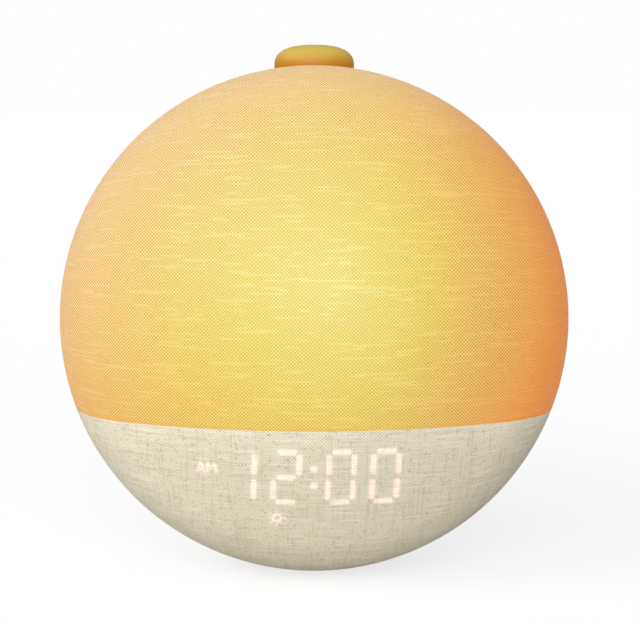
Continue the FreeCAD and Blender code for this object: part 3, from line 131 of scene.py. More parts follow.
# %% Hang the lights
def add_sun(name, aim, strength, softness, colour):
    """A far light that shines along aim. Its softness is the size of the lamp in the sky, in degrees."""
    deselect_all()
    bpy.ops.object.light_add(type="SUN", location=(0, 0, 2))
    lamp = bpy.context.object
    lamp.name = name
    lamp.rotation_euler = Vector(aim).to_track_quat("-Z", "Y").to_euler()
    lamp.data.energy = strength
    lamp.data.angle = math.radians(softness)
    lamp.data.color = colour
    print(name, "shines with", strength, "W per square metre")


KEY_STRENGTH = 1.38
FRONT_STRENGTH = 3.35
add_sun("key_light", aim=(0.80, 0.42, -0.62), strength=KEY_STRENGTH, softness=42, colour=(1.0, 0.98, 0.95))
add_sun("front_light", aim=(0.12, 1.0, -0.25), strength=FRONT_STRENGTH, softness=70, colour=(1.0, 0.99, 0.98))


# %% [markdown]
# ## Small helpers for node trees
#
# A finish is a tree of nodes. Math nodes come in dozens, so a helper adds one and hands back its
# output. A node group keeps an effect that several finishes share. Its sockets are declared first, and
# then its nodes are linked between the group's input and output.

# %% Helpers for nodes
def plug(tree, socket, value):
    """Set a socket to a number or colour, or link another node's output to it."""
    if isinstance(value, bpy.types.NodeSocket):
        tree.links.new(value, socket)
    else:
        socket.default_value = value


def calc(tree, operation, *values):
    """Add a Math node and hand back its output."""
    node = tree.nodes.new("ShaderNodeMath")
    node.operation = operation
    for socket, value in zip(node.inputs, values):
        plug(tree, socket, value)
    return node.outputs[0]


def mix(tree, share, first, second, mode="MIX"):
    """Add a colour Mix node and hand back its output."""
    node = tree.nodes.new("ShaderNodeMix")
    node.data_type = "RGBA"
    node.blend_type = mode
    plug(tree, node.inputs["Factor"], share)
    for socket, value in zip((node.inputs[6], node.inputs[7]), (first, second)):
        plug(tree, socket, value if isinstance(value, bpy.types.NodeSocket) else (*value, 1))
    return node.outputs[2]


def fade(tree, value, start, end, low=0.0, high=1.0):
    """Turn a range of one value into a range of another, smoothly."""
    node = tree.nodes.new("ShaderNodeMapRange")
    node.interpolation_type = "SMOOTHSTEP"
    for socket, setting in zip(node.inputs, (value, start, end, low, high)):
        plug(tree, socket, setting)
    return node.outputs[0]


def combine(tree, x, y, z=0.0):
    node = tree.nodes.new("ShaderNodeCombineXYZ")
    for socket, value in zip(node.inputs, (x, y, z)):
        plug(tree, socket, value)
    return node.outputs[0]


def separate(tree, vector):
    node = tree.nodes.new("ShaderNodeSeparateXYZ")
    plug(tree, node.inputs[0], vector)
    return node.outputs


def noise(tree, vector, scale, detail=2.0, roughness=0.5):
    """Cloudy noise from 0 to 1."""
    node = tree.nodes.new("ShaderNodeTexNoise")
    plug(tree, node.inputs["Vector"], vector)
    for name, value in (("Scale", scale), ("Detail", detail), ("Roughness", roughness)):
        plug(tree, node.inputs[name], value)
    return node.outputs["Fac"]


def object_place(tree):
    """Where a point lies on the clock, in metres, whatever the piece."""
    return tree.nodes.new("ShaderNodeTexCoord").outputs["Object"]


# %% Helpers for groups and finishes
def new_group(name, inputs, outputs):
    """Start a node group. Inputs are (name, kind, value) and outputs are (name, kind)."""
    group = bpy.data.node_groups.new(name, "ShaderNodeTree")
    for label, kind, value in inputs:
        socket = group.interface.new_socket(label, in_out="INPUT", socket_type=f"NodeSocket{kind}")
        if value is not None:
            socket.default_value = value
    for label, kind in outputs:
        group.interface.new_socket(label, in_out="OUTPUT", socket_type=f"NodeSocket{kind}")
    start = group.nodes.new("NodeGroupInput").outputs
    end = group.nodes.new("NodeGroupOutput").inputs
    return group, start, end


def use_group(tree, group, **values):
    """Place a node group in a tree. A value's name is the socket's name with underscores for spaces."""
    node = tree.nodes.new("ShaderNodeGroup")
    node.node_tree = group
    for name, value in values.items():
        plug(tree, node.inputs[name.replace("_", " ")], value)
    return node.outputs


def new_finish(name, **settings):
    """Start a material and set the numbers that are the same all over it."""
    material = bpy.data.materials.new(name)
    material.use_nodes = True
    shader = material.node_tree.nodes["Principled BSDF"]
    for label, value in settings.items():
        shader.inputs[label.replace("_", " ")].default_value = value
    return material, material.node_tree, shader


def emboss(tree, shader, height, depth):
    """Let a height pattern tilt the light on the surface. Depth is in metres."""
    bump = tree.nodes.new("ShaderNodeBump")
    bump.inputs["Distance"].default_value = depth
    plug(tree, bump.inputs["Height"], height)
    tree.links.new(bump.outputs["Normal"], shader.inputs["Normal"])


print("helpers are ready")

# %% [markdown]
# ## Paper for the table, and the light all round
#
# The table is matt paper on a light table: part of its brightness comes from below, which keeps the
# shadows pale. Paper that bright would also throw too much light back at the clock's underside. The Light
# Path node tells the two apart, so the camera sees bright paper and the clock is lit by a duller one. The
# surroundings use the same trick: the camera sees white, and the clock is lit by a soft, bluish sky.

# %% Finish the table and the surroundings
PAPER_REFLECTS = 0.3
PAPER_SHINES = 0.737
PAPER_BOUNCES = 0.5
SKY_STRENGTH = 0.64
SKY_COLOUR = (0.54, 0.56, 0.59)
paper, tree, shader = new_finish("matt_paper", Roughness=0.95)
shader.inputs["Specular IOR Level"].default_value = 0
seen = tree.nodes.new("ShaderNodeLightPath").outputs["Is Camera Ray"]
mottle = fade(tree, noise(tree, object_place(tree), 900, 3), 0.3, 0.7, 0.985, 1.0)
shade = mix(tree, seen, (PAPER_BOUNCES,) * 3, (PAPER_REFLECTS,) * 3)
mottled = mix(tree, 1.0, shade, combine(tree, mottle, mottle, mottle), "MULTIPLY")
plug(tree, shader.inputs["Base Color"], mottled)
shader.inputs["Emission Color"].default_value = (PAPER_SHINES, PAPER_SHINES, PAPER_SHINES, 1)
plug(tree, shader.inputs["Emission Strength"], seen)
table.data.materials.append(paper)

world = bpy.data.worlds.new("studio")
bpy.context.scene.world = world
world.use_nodes = True
sky = world.node_tree
seen = sky.nodes.new("ShaderNodeLightPath").outputs["Is Camera Ray"]
soft = tuple(SKY_STRENGTH * channel for channel in SKY_COLOUR)
plug(sky, sky.nodes["Background"].inputs["Color"], mix(sky, seen, soft, (1.0, 1.0, 1.0)))
print("paper and surroundings are set")

# %% [markdown]
# ## The woven cover
#
# On the real clock one piece of cloth is stretched over a shallow dome and tucked in behind it. A
# simulation could stretch a flat sheet over a form, but a taut cover simply takes the form's shape. So
# its outline is drawn once as a line of points, spun a full turn, and given the cloth's thickness.
#
# The outline is two arcs that run into each other. A large one makes the flat front, and a small one
# rounds the shoulder. A last small bend takes the cloth round the rim and in behind it.

# %% Draw the cover's outline
WIDEST = 100 * MM
FRONT = 54 * MM
SHOULDER = 38 * MM
CLOTH = 0.8 * MM
face_radius = (WIDEST**2 + FRONT**2 - 2 * WIDEST * SHOULDER) / (2 * (FRONT - SHOULDER))
face_centre = face_radius - FRONT
shoulder_centre = WIDEST - SHOULDER
face_turn = math.atan2(shoulder_centre, face_centre)


def arc(across, along, radius, first, last, steps):
    """Points on an arc. Angles are measured from the direction that points to the front."""
    points = []
    for step in range(steps + 1):
        angle = first + (last - first) * step / steps
        points.append((across + radius * math.sin(angle), along - radius * math.cos(angle)))
    return points


BEND = 1.2 * MM
RIM = 2 * MM
HEM_STEP = 2.4 * MM
quarter = math.pi / 2
profile = arc(0, face_centre, face_radius, 0, face_turn, 26)
profile += arc(shoulder_centre, 0, SHOULDER, face_turn, quarter, 20)[1:]
profile += arc(WIDEST - BEND, RIM, BEND, quarter, 2 * quarter, 6)
profile += [(WIDEST - BEND - step * HEM_STEP, RIM + BEND) for step in (1, 2)]
print("outline has", len(profile), "points; the flat arc's radius is", round(face_radius / MM, 1), "mm")


# %% Spin the outline into the cover
def spin_piece(name, outline, steps):
    """Draw an outline with extruded points and spin it about the clock's middle line."""
    deselect_all()
    start = CENTRE + Vector((outline[0][0], outline[0][1], 0))
    bpy.ops.mesh.primitive_circle_add(vertices=3, radius=MM, location=start)
    piece = bpy.context.object
    piece.name = name
    bpy.ops.object.transform_apply(location=True, rotation=True, scale=True)
    bpy.ops.object.mode_set(mode="EDIT")
    bpy.ops.mesh.merge(type="CENTER")
    for (across, along), (next_across, next_along) in zip(outline, outline[1:]):
        step = (next_across - across, next_along - along, 0)
        bpy.ops.mesh.extrude_region_move(TRANSFORM_OT_translate={"value": step})
    bpy.ops.mesh.select_all(action="SELECT")
    bpy.ops.mesh.spin(steps=steps, angle=2 * math.pi, center=CENTRE, axis=(0, 1, 0))
    bpy.ops.mesh.select_all(action="SELECT")
    bpy.ops.mesh.remove_doubles(threshold=0.00001)
    bpy.ops.mesh.normals_make_consistent(inside=False)
    bpy.ops.object.mode_set(mode="OBJECT")
    return piece


SPIN_STEPS = 192
cover = spin_piece("woven_cover", profile, SPIN_STEPS)
front = min(cover.data.polygons, key=lambda face: face.center.y)
print("cover has", len(cover.data.polygons), "faces, and its front looks along", front.normal)

# %% [markdown]
# Stretched cloth keeps its threads straight over the surface, so seen from the front they draw closer
# together towards the edge and lean to the middle. A flat picture laid on from the front would smear
# there. Each point's place on the cloth is therefore its distance from the middle, measured along the
# outline, in the point's own direction. It is kept in metres, so thread sizes can be real ones.

# %% Lay the cloth's own coordinates on it
reach = [0.0]
for (across, along), (next_across, next_along) in zip(profile, profile[1:]):
    reach.append(reach[-1] + math.hypot(next_across - across, next_along - along))


def along_outline(across, along):
    """How far from the middle of the cloth a point on its outline lies, in metres."""
    gaps = [math.hypot(point[0] - across, point[1] - along) for point in profile]
    return reach[gaps.index(min(gaps))]


layer = cover.data.uv_layers.new(name="cloth")
places = []
for vertex in cover.data.vertices:
    offset = vertex.co - CENTRE
    across = math.hypot(offset.x, offset.z)
    distance = along_outline(across, offset.y)
    direction = (offset.x / across, offset.z / across) if across > 1e-6 else (0, 0)
    places.append((direction[0] * distance, direction[1] * distance))
for corner in cover.data.loops:
    layer.data[corner.index].uv = places[corner.vertex_index]
print("cloth reaches", round(reach[-1] / MM, 1), "mm from its middle to its hem")

# %% Give the cloth its thickness
deselect_all()
cover.select_set(True)
bpy.context.view_layer.objects.active = cover
bpy.ops.object.shade_smooth()
thickness = cover.modifiers.new("cloth_thickness", "SOLIDIFY")
thickness.thickness = CLOTH
thickness.offset = -1
thickness.use_even_offset = True
bpy.ops.object.modifier_apply(modifier=thickness.name)
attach(cover, "case")
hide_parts("fabric_cover")
print("cover is", [round(size / MM, 1) for size in cover.dimensions], "mm")


# %% [markdown]
# ## The weave
#
# Plain weave is the simplest cloth: each thread goes over one and under the next, which makes a fine
# chequerboard. An image could carry it, but numbers can too. Counting threads in both directions gives
# a column and a row, and whether their sum is odd or even says which thread lies on top. Every thread
# is a little thicker or paler in places, which linen is known for, so long stretched noise gives each
# its own streaks.

# %% Build the weave as a node group
weave, start, end = new_group(
    "plain_weave",
    [("Threads", "Vector", None)],
    [("Height", "Float"), ("Warp On Top", "Float"), ("Weft Streak", "Float"), ("Warp Streak", "Float"),
     ("Weft Dash", "Float"), ("Warp Dash", "Float"), ("Cloud", "Float")])
x, y = separate(weave, start["Threads"])[:2]
column = calc(weave, "FLOOR", x)
row = calc(weave, "FLOOR", y)
warp_round = calc(weave, "SINE", calc(weave, "MULTIPLY", calc(weave, "FRACT", x), math.pi))
weft_round = calc(weave, "SINE", calc(weave, "MULTIPLY", calc(weave, "FRACT", y), math.pi))
warp_top = calc(weave, "FLOORED_MODULO", calc(weave, "ADD", column, row), 2)
THREAD_DIP = 0.45


def thread_height(own, other):
    """A thread is round across its width and dips where it goes under the next."""
    dipped = calc(weave, "MULTIPLY_ADD", other, THREAD_DIP, 1 - THREAD_DIP)
    return calc(weave, "MULTIPLY", calc(weave, "SQRT", own), dipped)


warp_height = calc(weave, "MULTIPLY", thread_height(warp_round, weft_round), warp_top)
weft_top = calc(weave, "SUBTRACT", 1, warp_top)
weft_height = calc(weave, "MULTIPLY", thread_height(weft_round, warp_round), weft_top)
plug(weave, end["Height"], calc(weave, "ADD", warp_height, weft_height))
plug(weave, end["Warp On Top"], warp_top)
LENGTHWAYS = 0.035
OWN_STREAK = 3.71
OTHER_THREADS = 9
STAGGER = 0.37
WEFT_DASHES = 0.45
WARP_DASHES = 0.8
CLOUDS = 0.11
weft_place = combine(weave, calc(weave, "MULTIPLY", x, LENGTHWAYS), calc(weave, "MULTIPLY", row, OWN_STREAK))
warp_place = combine(weave, calc(weave, "MULTIPLY", column, OWN_STREAK),
                     calc(weave, "MULTIPLY", y, LENGTHWAYS), OTHER_THREADS)
plug(weave, end["Weft Streak"], noise(weave, weft_place, 1, 2))
plug(weave, end["Warp Streak"], noise(weave, warp_place, 1, 2))


def thread_dashes(own_thread, lengthways, per_thread):
    """A chance number for each short stretch of one thread. The stretches start at other places on each."""
    first = calc(weave, "MULTIPLY", own_thread, STAGGER)
    stretch = calc(weave, "MULTIPLY_ADD", lengthways, per_thread, first)
    chance = weave.nodes.new("ShaderNodeTexWhiteNoise")
    chance.noise_dimensions = "2D"
    plug(weave, chance.inputs["Vector"], combine(weave, own_thread, calc(weave, "FLOOR", stretch)))
    return chance.outputs["Value"]


plug(weave, end["Weft Dash"], thread_dashes(row, x, WEFT_DASHES))
plug(weave, end["Warp Dash"], thread_dashes(column, y, WARP_DASHES))
plug(weave, end["Cloud"], noise(weave, start["Threads"], CLOUDS, 3, 0.6))
print("weave group has", len(weave.nodes), "nodes")

# %% [markdown]
# ## Light bars behind the cloth
#
# The time is made of bars of light that press against the back of the cloth, so their edges are soft.
# Modelling each bar would need a see-through cloth. It is simpler to work out how far each point of the
# cloth is from a bar and to let it shine where that distance is small. One node group does this for
# one straight stroke, and it is placed once for each stroke of the display.

# %% Build one stroke of light as a node group
stroke, start, end = new_group(
    "lit_stroke",
    [("Place", "Vector", None), ("Middle X", "Float", 0), ("Middle Z", "Float", 0), ("Lean X", "Float", 0),
     ("Lean Z", "Float", 1), ("Half Length", "Float", 1), ("Half Width", "Float", 1)],
    [("Distance", "Float")])
place = separate(stroke, start["Place"])
x, z = place[0], place[2]
from_x = calc(stroke, "SUBTRACT", x, start["Middle X"])
from_z = calc(stroke, "SUBTRACT", z, start["Middle Z"])
lengthways = calc(stroke, "ADD", calc(stroke, "MULTIPLY", from_x, start["Lean X"]),
                  calc(stroke, "MULTIPLY", from_z, start["Lean Z"]))
sideways = calc(stroke, "SUBTRACT", calc(stroke, "MULTIPLY", from_x, start["Lean Z"]),
                calc(stroke, "MULTIPLY", from_z, start["Lean X"]))
past_end = calc(stroke, "SUBTRACT", calc(stroke, "ABSOLUTE", lengthways), start["Half Length"])
past_side = calc(stroke, "SUBTRACT", calc(stroke, "ABSOLUTE", sideways), start["Half Width"])
CORNER = 0.9
corner_end = calc(stroke, "MAXIMUM", calc(stroke, "ADD", past_end, CORNER), 0)
corner_side = calc(stroke, "MAXIMUM", calc(stroke, "ADD", past_side, CORNER), 0)
corner = calc(stroke, "SQRT", calc(stroke, "ADD", calc(stroke, "POWER", corner_end, 2),
                                  calc(stroke, "POWER", corner_side, 2)))
inside = calc(stroke, "MINIMUM", calc(stroke, "ADD", calc(stroke, "MAXIMUM", past_end, past_side), CORNER), 0)
plug(stroke, end["Distance"], calc(stroke, "SUBTRACT", calc(stroke, "ADD", corner, inside), CORNER))
print("stroke group has", len(stroke.nodes), "nodes")

# %% [markdown]
# A seven-bar digit has three level bars and four upright ones. Each digit is named by the bars that are
# lit, and the digits lean a little to the right. The two letters and the small sun are made of the
# same strokes. All sizes here are millimetres from the middle of the front.

# %% List the strokes of the display
DIGIT_HEIGHT = 20.6
DIGIT_WIDTH = 9.3
LEAN = 0.046
ROW = -51.8
DIGITS = (("1", -27.0), ("2", -10.4), ("0", 9.9), ("0", 26.4))
UPRIGHT_HALF = 4.1
LEVEL_HALF = 3.6
BAR_HALF_WIDTH = 1.08
COLON_X = -0.15
COLON_ROWS = (-48.3, -55.0)
DOT = 1.3
BARS = {
    "top": (0, 1, False), "middle": (0, 0, False), "bottom": (0, -1, False),
    "upper left": (-1, 0.5, True), "upper right": (1, 0.5, True),
    "lower left": (-1, -0.5, True), "lower right": (1, -0.5, True),
}
LIT = {
    "1": ("upper right", "lower right"),
    "2": ("top", "upper right", "middle", "lower left", "bottom"),
    "0": ("top", "upper left", "upper right", "lower left", "lower right", "bottom"),
}
strokes = []


def add_stroke(start, end, half_width):
    """Keep a stroke as its middle, its direction and its half sizes."""
    (x0, z0), (x1, z1) = start, end
    length = math.hypot(x1 - x0, z1 - z0)
    strokes.append(((x0 + x1) / 2, (z0 + z1) / 2, (x1 - x0) / length, (z1 - z0) / length,
                    length / 2, half_width))


for digit, middle in DIGITS:
    for bar in LIT[digit]:
        side, rise, upright = BARS[bar]
        z = ROW + rise * DIGIT_HEIGHT / 2
        x = middle + side * DIGIT_WIDTH / 2 + LEAN * (z - ROW)
        half_x, half_z = (LEAN * UPRIGHT_HALF, UPRIGHT_HALF) if upright else (LEVEL_HALF, 0)
        add_stroke((x - half_x, z - half_z), (x + half_x, z + half_z), BAR_HALF_WIDTH)
for z in COLON_ROWS:
    add_stroke((COLON_X, z - DOT), (COLON_X, z + DOT), DOT)
print(len(strokes), "strokes show the time")

# %% Add the letters and the sun
FOOT, HEAD = -51.0, -46.8
LETTER_HALF_WIDTH = 0.42
LETTERS = [((-43.9, FOOT), (-42.3, HEAD)), ((-42.3, HEAD), (-40.7, FOOT)), ((-43.3, -49.7), (-41.3, -49.7)),
           ((-39.9, FOOT), (-39.7, HEAD)), ((-39.7, HEAD), (-38.2, -49.6)), ((-38.2, -49.6), (-36.7, HEAD)),
           ((-36.7, HEAD), (-36.4, FOOT))]
for start_point, end_point in LETTERS:
    add_stroke(start_point, end_point, LETTER_HALF_WIDTH)
SUN = (-14.1, -69.2)
SUN_RING = 1.55
RING_HALF_WIDTH = 0.55
RAY_FROM, RAY_TO = 2.6, 3.3
RAY_HALF_WIDTH = 0.6
for ray in range(8):
    angle = math.radians(45 * ray)
    direction = (math.cos(angle), math.sin(angle))
    near, far = [(SUN[0] + direction[0] * r, SUN[1] + direction[1] * r) for r in (RAY_FROM, RAY_TO)]
    add_stroke(near, far, RAY_HALF_WIDTH)
print(len(strokes), "strokes in all")

# %% [markdown]
# ## The cloth's finish
#
# Below the seam the cloth is plain linen: beige threads with small knots and streaks, darker where one dips
# under another as painted shade. Above it the lamp shines through. The glow is brightest and most yellow in
# front of the lamp and turns orange further out. It is painted a deeper orange on the right, where the studio
# light doesn't reach, as painted shade, and paler towards the upper left as painted studio light. A colour
# ramp over the distance from the lamp gives the glow, and the weave makes it sparkle.

# %% Mix the linen
LINEN_WEFT = (0.84, 0.78, 0.615)
LINEN_WARP = (0.64, 0.585, 0.435)
LINEN_DARK = (0.408, 0.35, 0.223)
PALE_STREAK = (0.90, 0.86, 0.76)
CLOUDED = (0.62, 0.58, 0.44)
PINHOLE = (0.20, 0.155, 0.09)
PLAIN_WEFT = 0.93
PLAIN_WARP = 0.94
linen, tree, shader = new_finish("woven_linen", Roughness=0.9, Sheen_Weight=0.18, Sheen_Roughness=0.45)
shader.inputs["Sheen Tint"].default_value = (1.0, 0.95, 0.86, 1)
shader.inputs["Specular IOR Level"].default_value = 0.1
shader.inputs["Emission Strength"].default_value = 1
THREAD = 0.67 * MM
cloth_place = tree.nodes.new("ShaderNodeUVMap")
cloth_place.uv_map = "cloth"
threads = tree.nodes.new("ShaderNodeVectorMath")
threads.operation = "SCALE"
tree.links.new(cloth_place.outputs["UV"], threads.inputs[0])
threads.inputs["Scale"].default_value = 1 / THREAD
cloth = use_group(tree, weave, Threads=threads.outputs[0])
warp_top = cloth["Warp On Top"]
dip = fade(tree, cloth["Height"], 0.15, 0.75)
pale_weft = fade(tree, cloth["Weft Streak"], 0.56, 0.63)
dark_weft = fade(tree, cloth["Weft Streak"], 0.44, 0.34)
dark_warp = fade(tree, cloth["Warp Streak"], 0.46, 0.36)
weft_dash = calc(tree, "GREATER_THAN", cloth["Weft Dash"], PLAIN_WEFT)
warp_dash = calc(tree, "GREATER_THAN", cloth["Warp Dash"], PLAIN_WARP)
pinhole = calc(tree, "MULTIPLY", calc(tree, "MULTIPLY_ADD", dip, -0.7, 1), warp_dash)
linen_colour = mix(tree, warp_top, LINEN_WEFT, LINEN_WARP)
# Where a thread dips under another, its colour is darkened: painted shade between the threads.
linen_colour = mix(tree, calc(tree, "MULTIPLY_ADD", dip, 0.6, 0.4), LINEN_DARK, linen_colour)
for share, amount in ((dark_weft, 0.22), (dark_warp, 0.26), (weft_dash, 0.18)):
    linen_colour = mix(tree, calc(tree, "MULTIPLY", share, amount), linen_colour, LINEN_DARK)
linen_colour = mix(tree, calc(tree, "MULTIPLY", pinhole, 0.65), linen_colour, PINHOLE)
linen_colour = mix(tree, calc(tree, "MULTIPLY", pale_weft, 0.28), linen_colour, PALE_STREAK)
linen_colour = mix(tree, fade(tree, cloth["Cloud"], 0.3, 0.7, 0, 0.12), linen_colour, CLOUDED)
print("linen is mixed from", len(tree.nodes), "nodes")

# %% Add the sunrise glow
LAMP_X = 4
LAMP_Z = 20
LAMP_SQUASH = 1.15
# The next numbers paint the studio light into the glow: deeper orange on the right as painted shade, paler at
# the upper left as painted light.
RIGHT_SIDE_PAINTED_SHADE = 60
GLOW_REACH = 150
UPPER_LEFT_PAINTED_LIGHT = (0.0, 0.045, 0.13)
GLOW = [(0.0, (0.398, 0.51, 0.207)), (0.2, (0.387, 0.434, 0.135)), (0.4, (0.373, 0.342, 0.089)),
        (0.6, (0.365, 0.257, 0.083)), (0.8, (0.396, 0.176, 0.056)), (1.0, (0.438, 0.093, 0.016))]
SPARKLE_WEFT = (1.30, 1.44, 1.95)
SPARKLE_WARP = (0.69, 0.56, 0.10)
SPARKLE_DASH = (0.60, 0.45, 0.20)
SPARKLE_PALE = (1.25, 1.40, 1.85)
SEAM_SHADE = (0.98, 0.88, 0.65)
# Above the seam the threads' own colour is painted orange: painted lamp light on the same beige linen.
LIT_WEFT = (0.45, 0.27, 0.06)
LIT_WARP = (0.36, 0.19, 0.035)
place = object_place(tree)
millimetres = tree.nodes.new("ShaderNodeVectorMath")
millimetres.operation = "MULTIPLY_ADD"
tree.links.new(place, millimetres.inputs[0])
millimetres.inputs[1].default_value = (1 / MM,) * 3
millimetres.inputs[2].default_value = -CENTRE / MM
x, y, z = separate(tree, millimetres.outputs[0])
above = calc(tree, "SUBTRACT", z, (SEAM - CENTRE.z) / MM)
lit = fade(tree, above, -0.15, 0.25)
from_lamp_x = calc(tree, "SUBTRACT", x, LAMP_X)
from_lamp_z = calc(tree, "MULTIPLY", calc(tree, "SUBTRACT", z, LAMP_Z), LAMP_SQUASH)
away = calc(tree, "SQRT", calc(tree, "ADD", calc(tree, "POWER", from_lamp_x, 2),
                               calc(tree, "POWER", from_lamp_z, 2)))
# Painted shade: the glow reaches its deep orange sooner on the right.
away = calc(tree, "ADD", away, calc(tree, "MULTIPLY", fade(tree, x, 10, 100), RIGHT_SIDE_PAINTED_SHADE))
ramp = tree.nodes.new("ShaderNodeValToRGB")
plug(tree, ramp.inputs["Fac"], calc(tree, "DIVIDE", away, GLOW_REACH))
while len(ramp.color_ramp.elements) < len(GLOW):
    ramp.color_ramp.elements.new(0.5)
for element, (position, colour) in zip(ramp.color_ramp.elements, GLOW):
    element.position = position
    element.color = (*colour, 1)
sparkle = mix(tree, warp_top, SPARKLE_WEFT, SPARKLE_WARP)
sparkle = mix(tree, calc(tree, "MULTIPLY", weft_dash, 0.25), sparkle, SPARKLE_DASH)
sparkle = mix(tree, fade(tree, away, 10, 110, 0.45, 1.0), (1.0, 1.0, 1.0), sparkle)
sparkle = mix(tree, calc(tree, "MULTIPLY", pale_weft, 0.45), sparkle, SPARKLE_PALE)
# Painted studio light: the glow is made paler towards the upper left.
to_upper_left = calc(tree, "ADD", calc(tree, "MULTIPLY", x, -0.6), calc(tree, "MULTIPLY", z, 0.8))
glow = mix(tree, fade(tree, to_upper_left, 0, 110), ramp.outputs["Color"], UPPER_LEFT_PAINTED_LIGHT, "ADD")
glow = mix(tree, 1.0, glow, sparkle, "MULTIPLY")
by_the_seam = fade(tree, above, 2.2, 0.0)
glow = mix(tree, by_the_seam, glow, SEAM_SHADE, "MULTIPLY")
# Painted lamp light: the threads above the seam take an orange base colour.
lit_thread = mix(tree, warp_top, LIT_WEFT, LIT_WARP)
print("the glow reaches its deepest orange", GLOW_REACH, "mm from the lamp")

# %% Add the display's light
DISPLAY_LIGHT = (0.37, 0.27, 0.29)
SPILL_LIGHT = (0.04, 0.036, 0.04)
FRINGE_LIGHT = (0.10, 0.03, 0.01)
SOFT_EDGE = 0.65
HALO = 0.11
HALO_REACH = 3.0
gap = None
for middle_x, middle_z, lean_x, lean_z, half_length, half_width in strokes:
    outputs = use_group(tree, stroke, Place=millimetres.outputs[0], Middle_X=middle_x, Middle_Z=middle_z,
                        Lean_X=lean_x, Lean_Z=lean_z, Half_Length=half_length, Half_Width=half_width)
    gap = outputs["Distance"] if gap is None else calc(tree, "MINIMUM", gap, outputs["Distance"])
to_sun = calc(tree, "SQRT", calc(tree, "ADD", calc(tree, "POWER", calc(tree, "SUBTRACT", x, SUN[0]), 2),
                                 calc(tree, "POWER", calc(tree, "SUBTRACT", z, SUN[1]), 2)))
ring = calc(tree, "SUBTRACT", calc(tree, "ABSOLUTE", calc(tree, "SUBTRACT", to_sun, SUN_RING)), RING_HALF_WIDTH)
gap = calc(tree, "MINIMUM", gap, ring)
bar_light = fade(tree, gap, SOFT_EDGE, -SOFT_EDGE)
halo = fade(tree, gap, HALO_REACH, 0.0, 0.0, HALO)
front_only = fade(tree, y, -7, -17)
shine = calc(tree, "MULTIPLY", calc(tree, "ADD", bar_light, halo), front_only)
shine = calc(tree, "MULTIPLY", shine, calc(tree, "MULTIPLY_ADD", dip, 0.4, 0.6))
display_light = mix(tree, shine, (0, 0, 0), DISPLAY_LIGHT)
fringe = calc(tree, "MULTIPLY", fade(tree, above, -1.0, 0.1), calc(tree, "SUBTRACT", 1, lit))
spill = calc(tree, "MULTIPLY", fade(tree, above, -14, 0), calc(tree, "SUBTRACT", 1, lit))
display_light = mix(tree, spill, display_light, SPILL_LIGHT, "ADD")
display_light = mix(tree, fringe, display_light, FRINGE_LIGHT, "ADD")
print(len(strokes) + 1, "shapes shine through the cloth")

# %% Finish the cloth
plug(tree, shader.inputs["Base Color"], mix(tree, lit, linen_colour, lit_thread))
plug(tree, shader.inputs["Emission Color"], mix(tree, lit, display_light, glow))
emboss(tree, shader, cloth["Height"], 0.12 * MM)
cover.data.materials.append(linen)
print("cloth's finish has", len(tree.nodes), "nodes")

# %% [markdown]
# ## Moulded plastic, metal and the rest
#
# A mould leaves a fine grain on plastic, and hands leave it a little shinier in places. One group holds
# both, and each plastic sets how large and how deep its grain is.

# %% Build the moulded grain as a node group
grain, start, end = new_group(
    "moulded_grain",
    [("Grains Per Metre", "Float", 4000), ("Colour", "Color", (0.5, 0.5, 0.5, 1)),
     ("Variation", "Float", 0.06), ("Roughness", "Float", 0.5)],
    [("Colour", "Color"), ("Roughness", "Float"), ("Height", "Float")])
place = object_place(grain)
fine = noise(grain, place, start["Grains Per Metre"], 2, 0.6)
patches = noise(grain, place, 45, 3, 0.55)
tone = calc(grain, "MULTIPLY_ADD", calc(grain, "SUBTRACT", patches, 0.5), start["Variation"], 1)
tone = calc(grain, "MULTIPLY_ADD", calc(grain, "SUBTRACT", fine, 0.5), start["Variation"], tone)
plug(grain, end["Colour"], mix(grain, 1.0, start["Colour"], combine(grain, tone, tone, tone), "MULTIPLY"))
rough = calc(grain, "MULTIPLY_ADD", calc(grain, "SUBTRACT", patches, 0.5), 0.25, start["Roughness"])
plug(grain, end["Roughness"], calc(grain, "MAXIMUM", rough, 0.08))
plug(grain, end["Height"], fine)
print("grain group has", len(grain.nodes), "nodes")


# %% Mould the plastics
def moulded(name, colour, roughness, grains, depth, variation=0.06, **settings):
    """A plastic with moulded grain."""
    material, tree, shader = new_finish(name, **settings)
    surface = use_group(tree, grain, Grains_Per_Metre=grains, Colour=(*colour, 1), Variation=variation,
                        Roughness=roughness)
    plug(tree, shader.inputs["Base Color"], surface["Colour"])
    plug(tree, shader.inputs["Roughness"], surface["Roughness"])
    emboss(tree, shader, surface["Height"], depth)
    return material


finishes = {
    "shell_plastic": moulded("putty_plastic", (0.72, 0.66, 0.54), 0.52, 3200, 0.06 * MM),
    "wheel_plastic": moulded("wheel_plastic", (0.60, 0.55, 0.44), 0.42, 5000, 0.03 * MM),
    "milky_plastic": moulded("milky_plastic", (0.86, 0.84, 0.78), 0.35, 2500, 0.01 * MM,
                             Subsurface_Weight=0.4, Subsurface_Scale=0.004),
    "white_plastic": moulded("reflector_plastic", (0.86, 0.86, 0.85), 0.45, 3000, 0.01 * MM),
    "frame_plastic": moulded("frame_plastic", (0.26, 0.26, 0.255), 0.5, 2600, 0.04 * MM),
    "black_plastic": moulded("black_plastic", (0.012, 0.012, 0.013), 0.55, 3600, 0.04 * MM),
    "knob_plastic": moulded("knob_plastic", (0.035, 0.033, 0.031), 0.42, 4800, 0.02 * MM),
    "grille_metal": moulded("powder_coated_grille", (0.56, 0.51, 0.41), 0.48, 1900, 0.05 * MM),
    "rubber": moulded("rubber", (0.13, 0.125, 0.115), 0.82, 1500, 0.08 * MM, variation=0.3),
    "lead_sheath": moulded("lead_sheath", (0.52, 0.50, 0.45), 0.5, 1200, 0.01 * MM),
    "led_lens": moulded("led_lens", (0.92, 0.80, 0.45), 0.15, 1500, 0.005 * MM, Coat_Weight=0.5),
}
print(len(finishes), "moulded finishes")
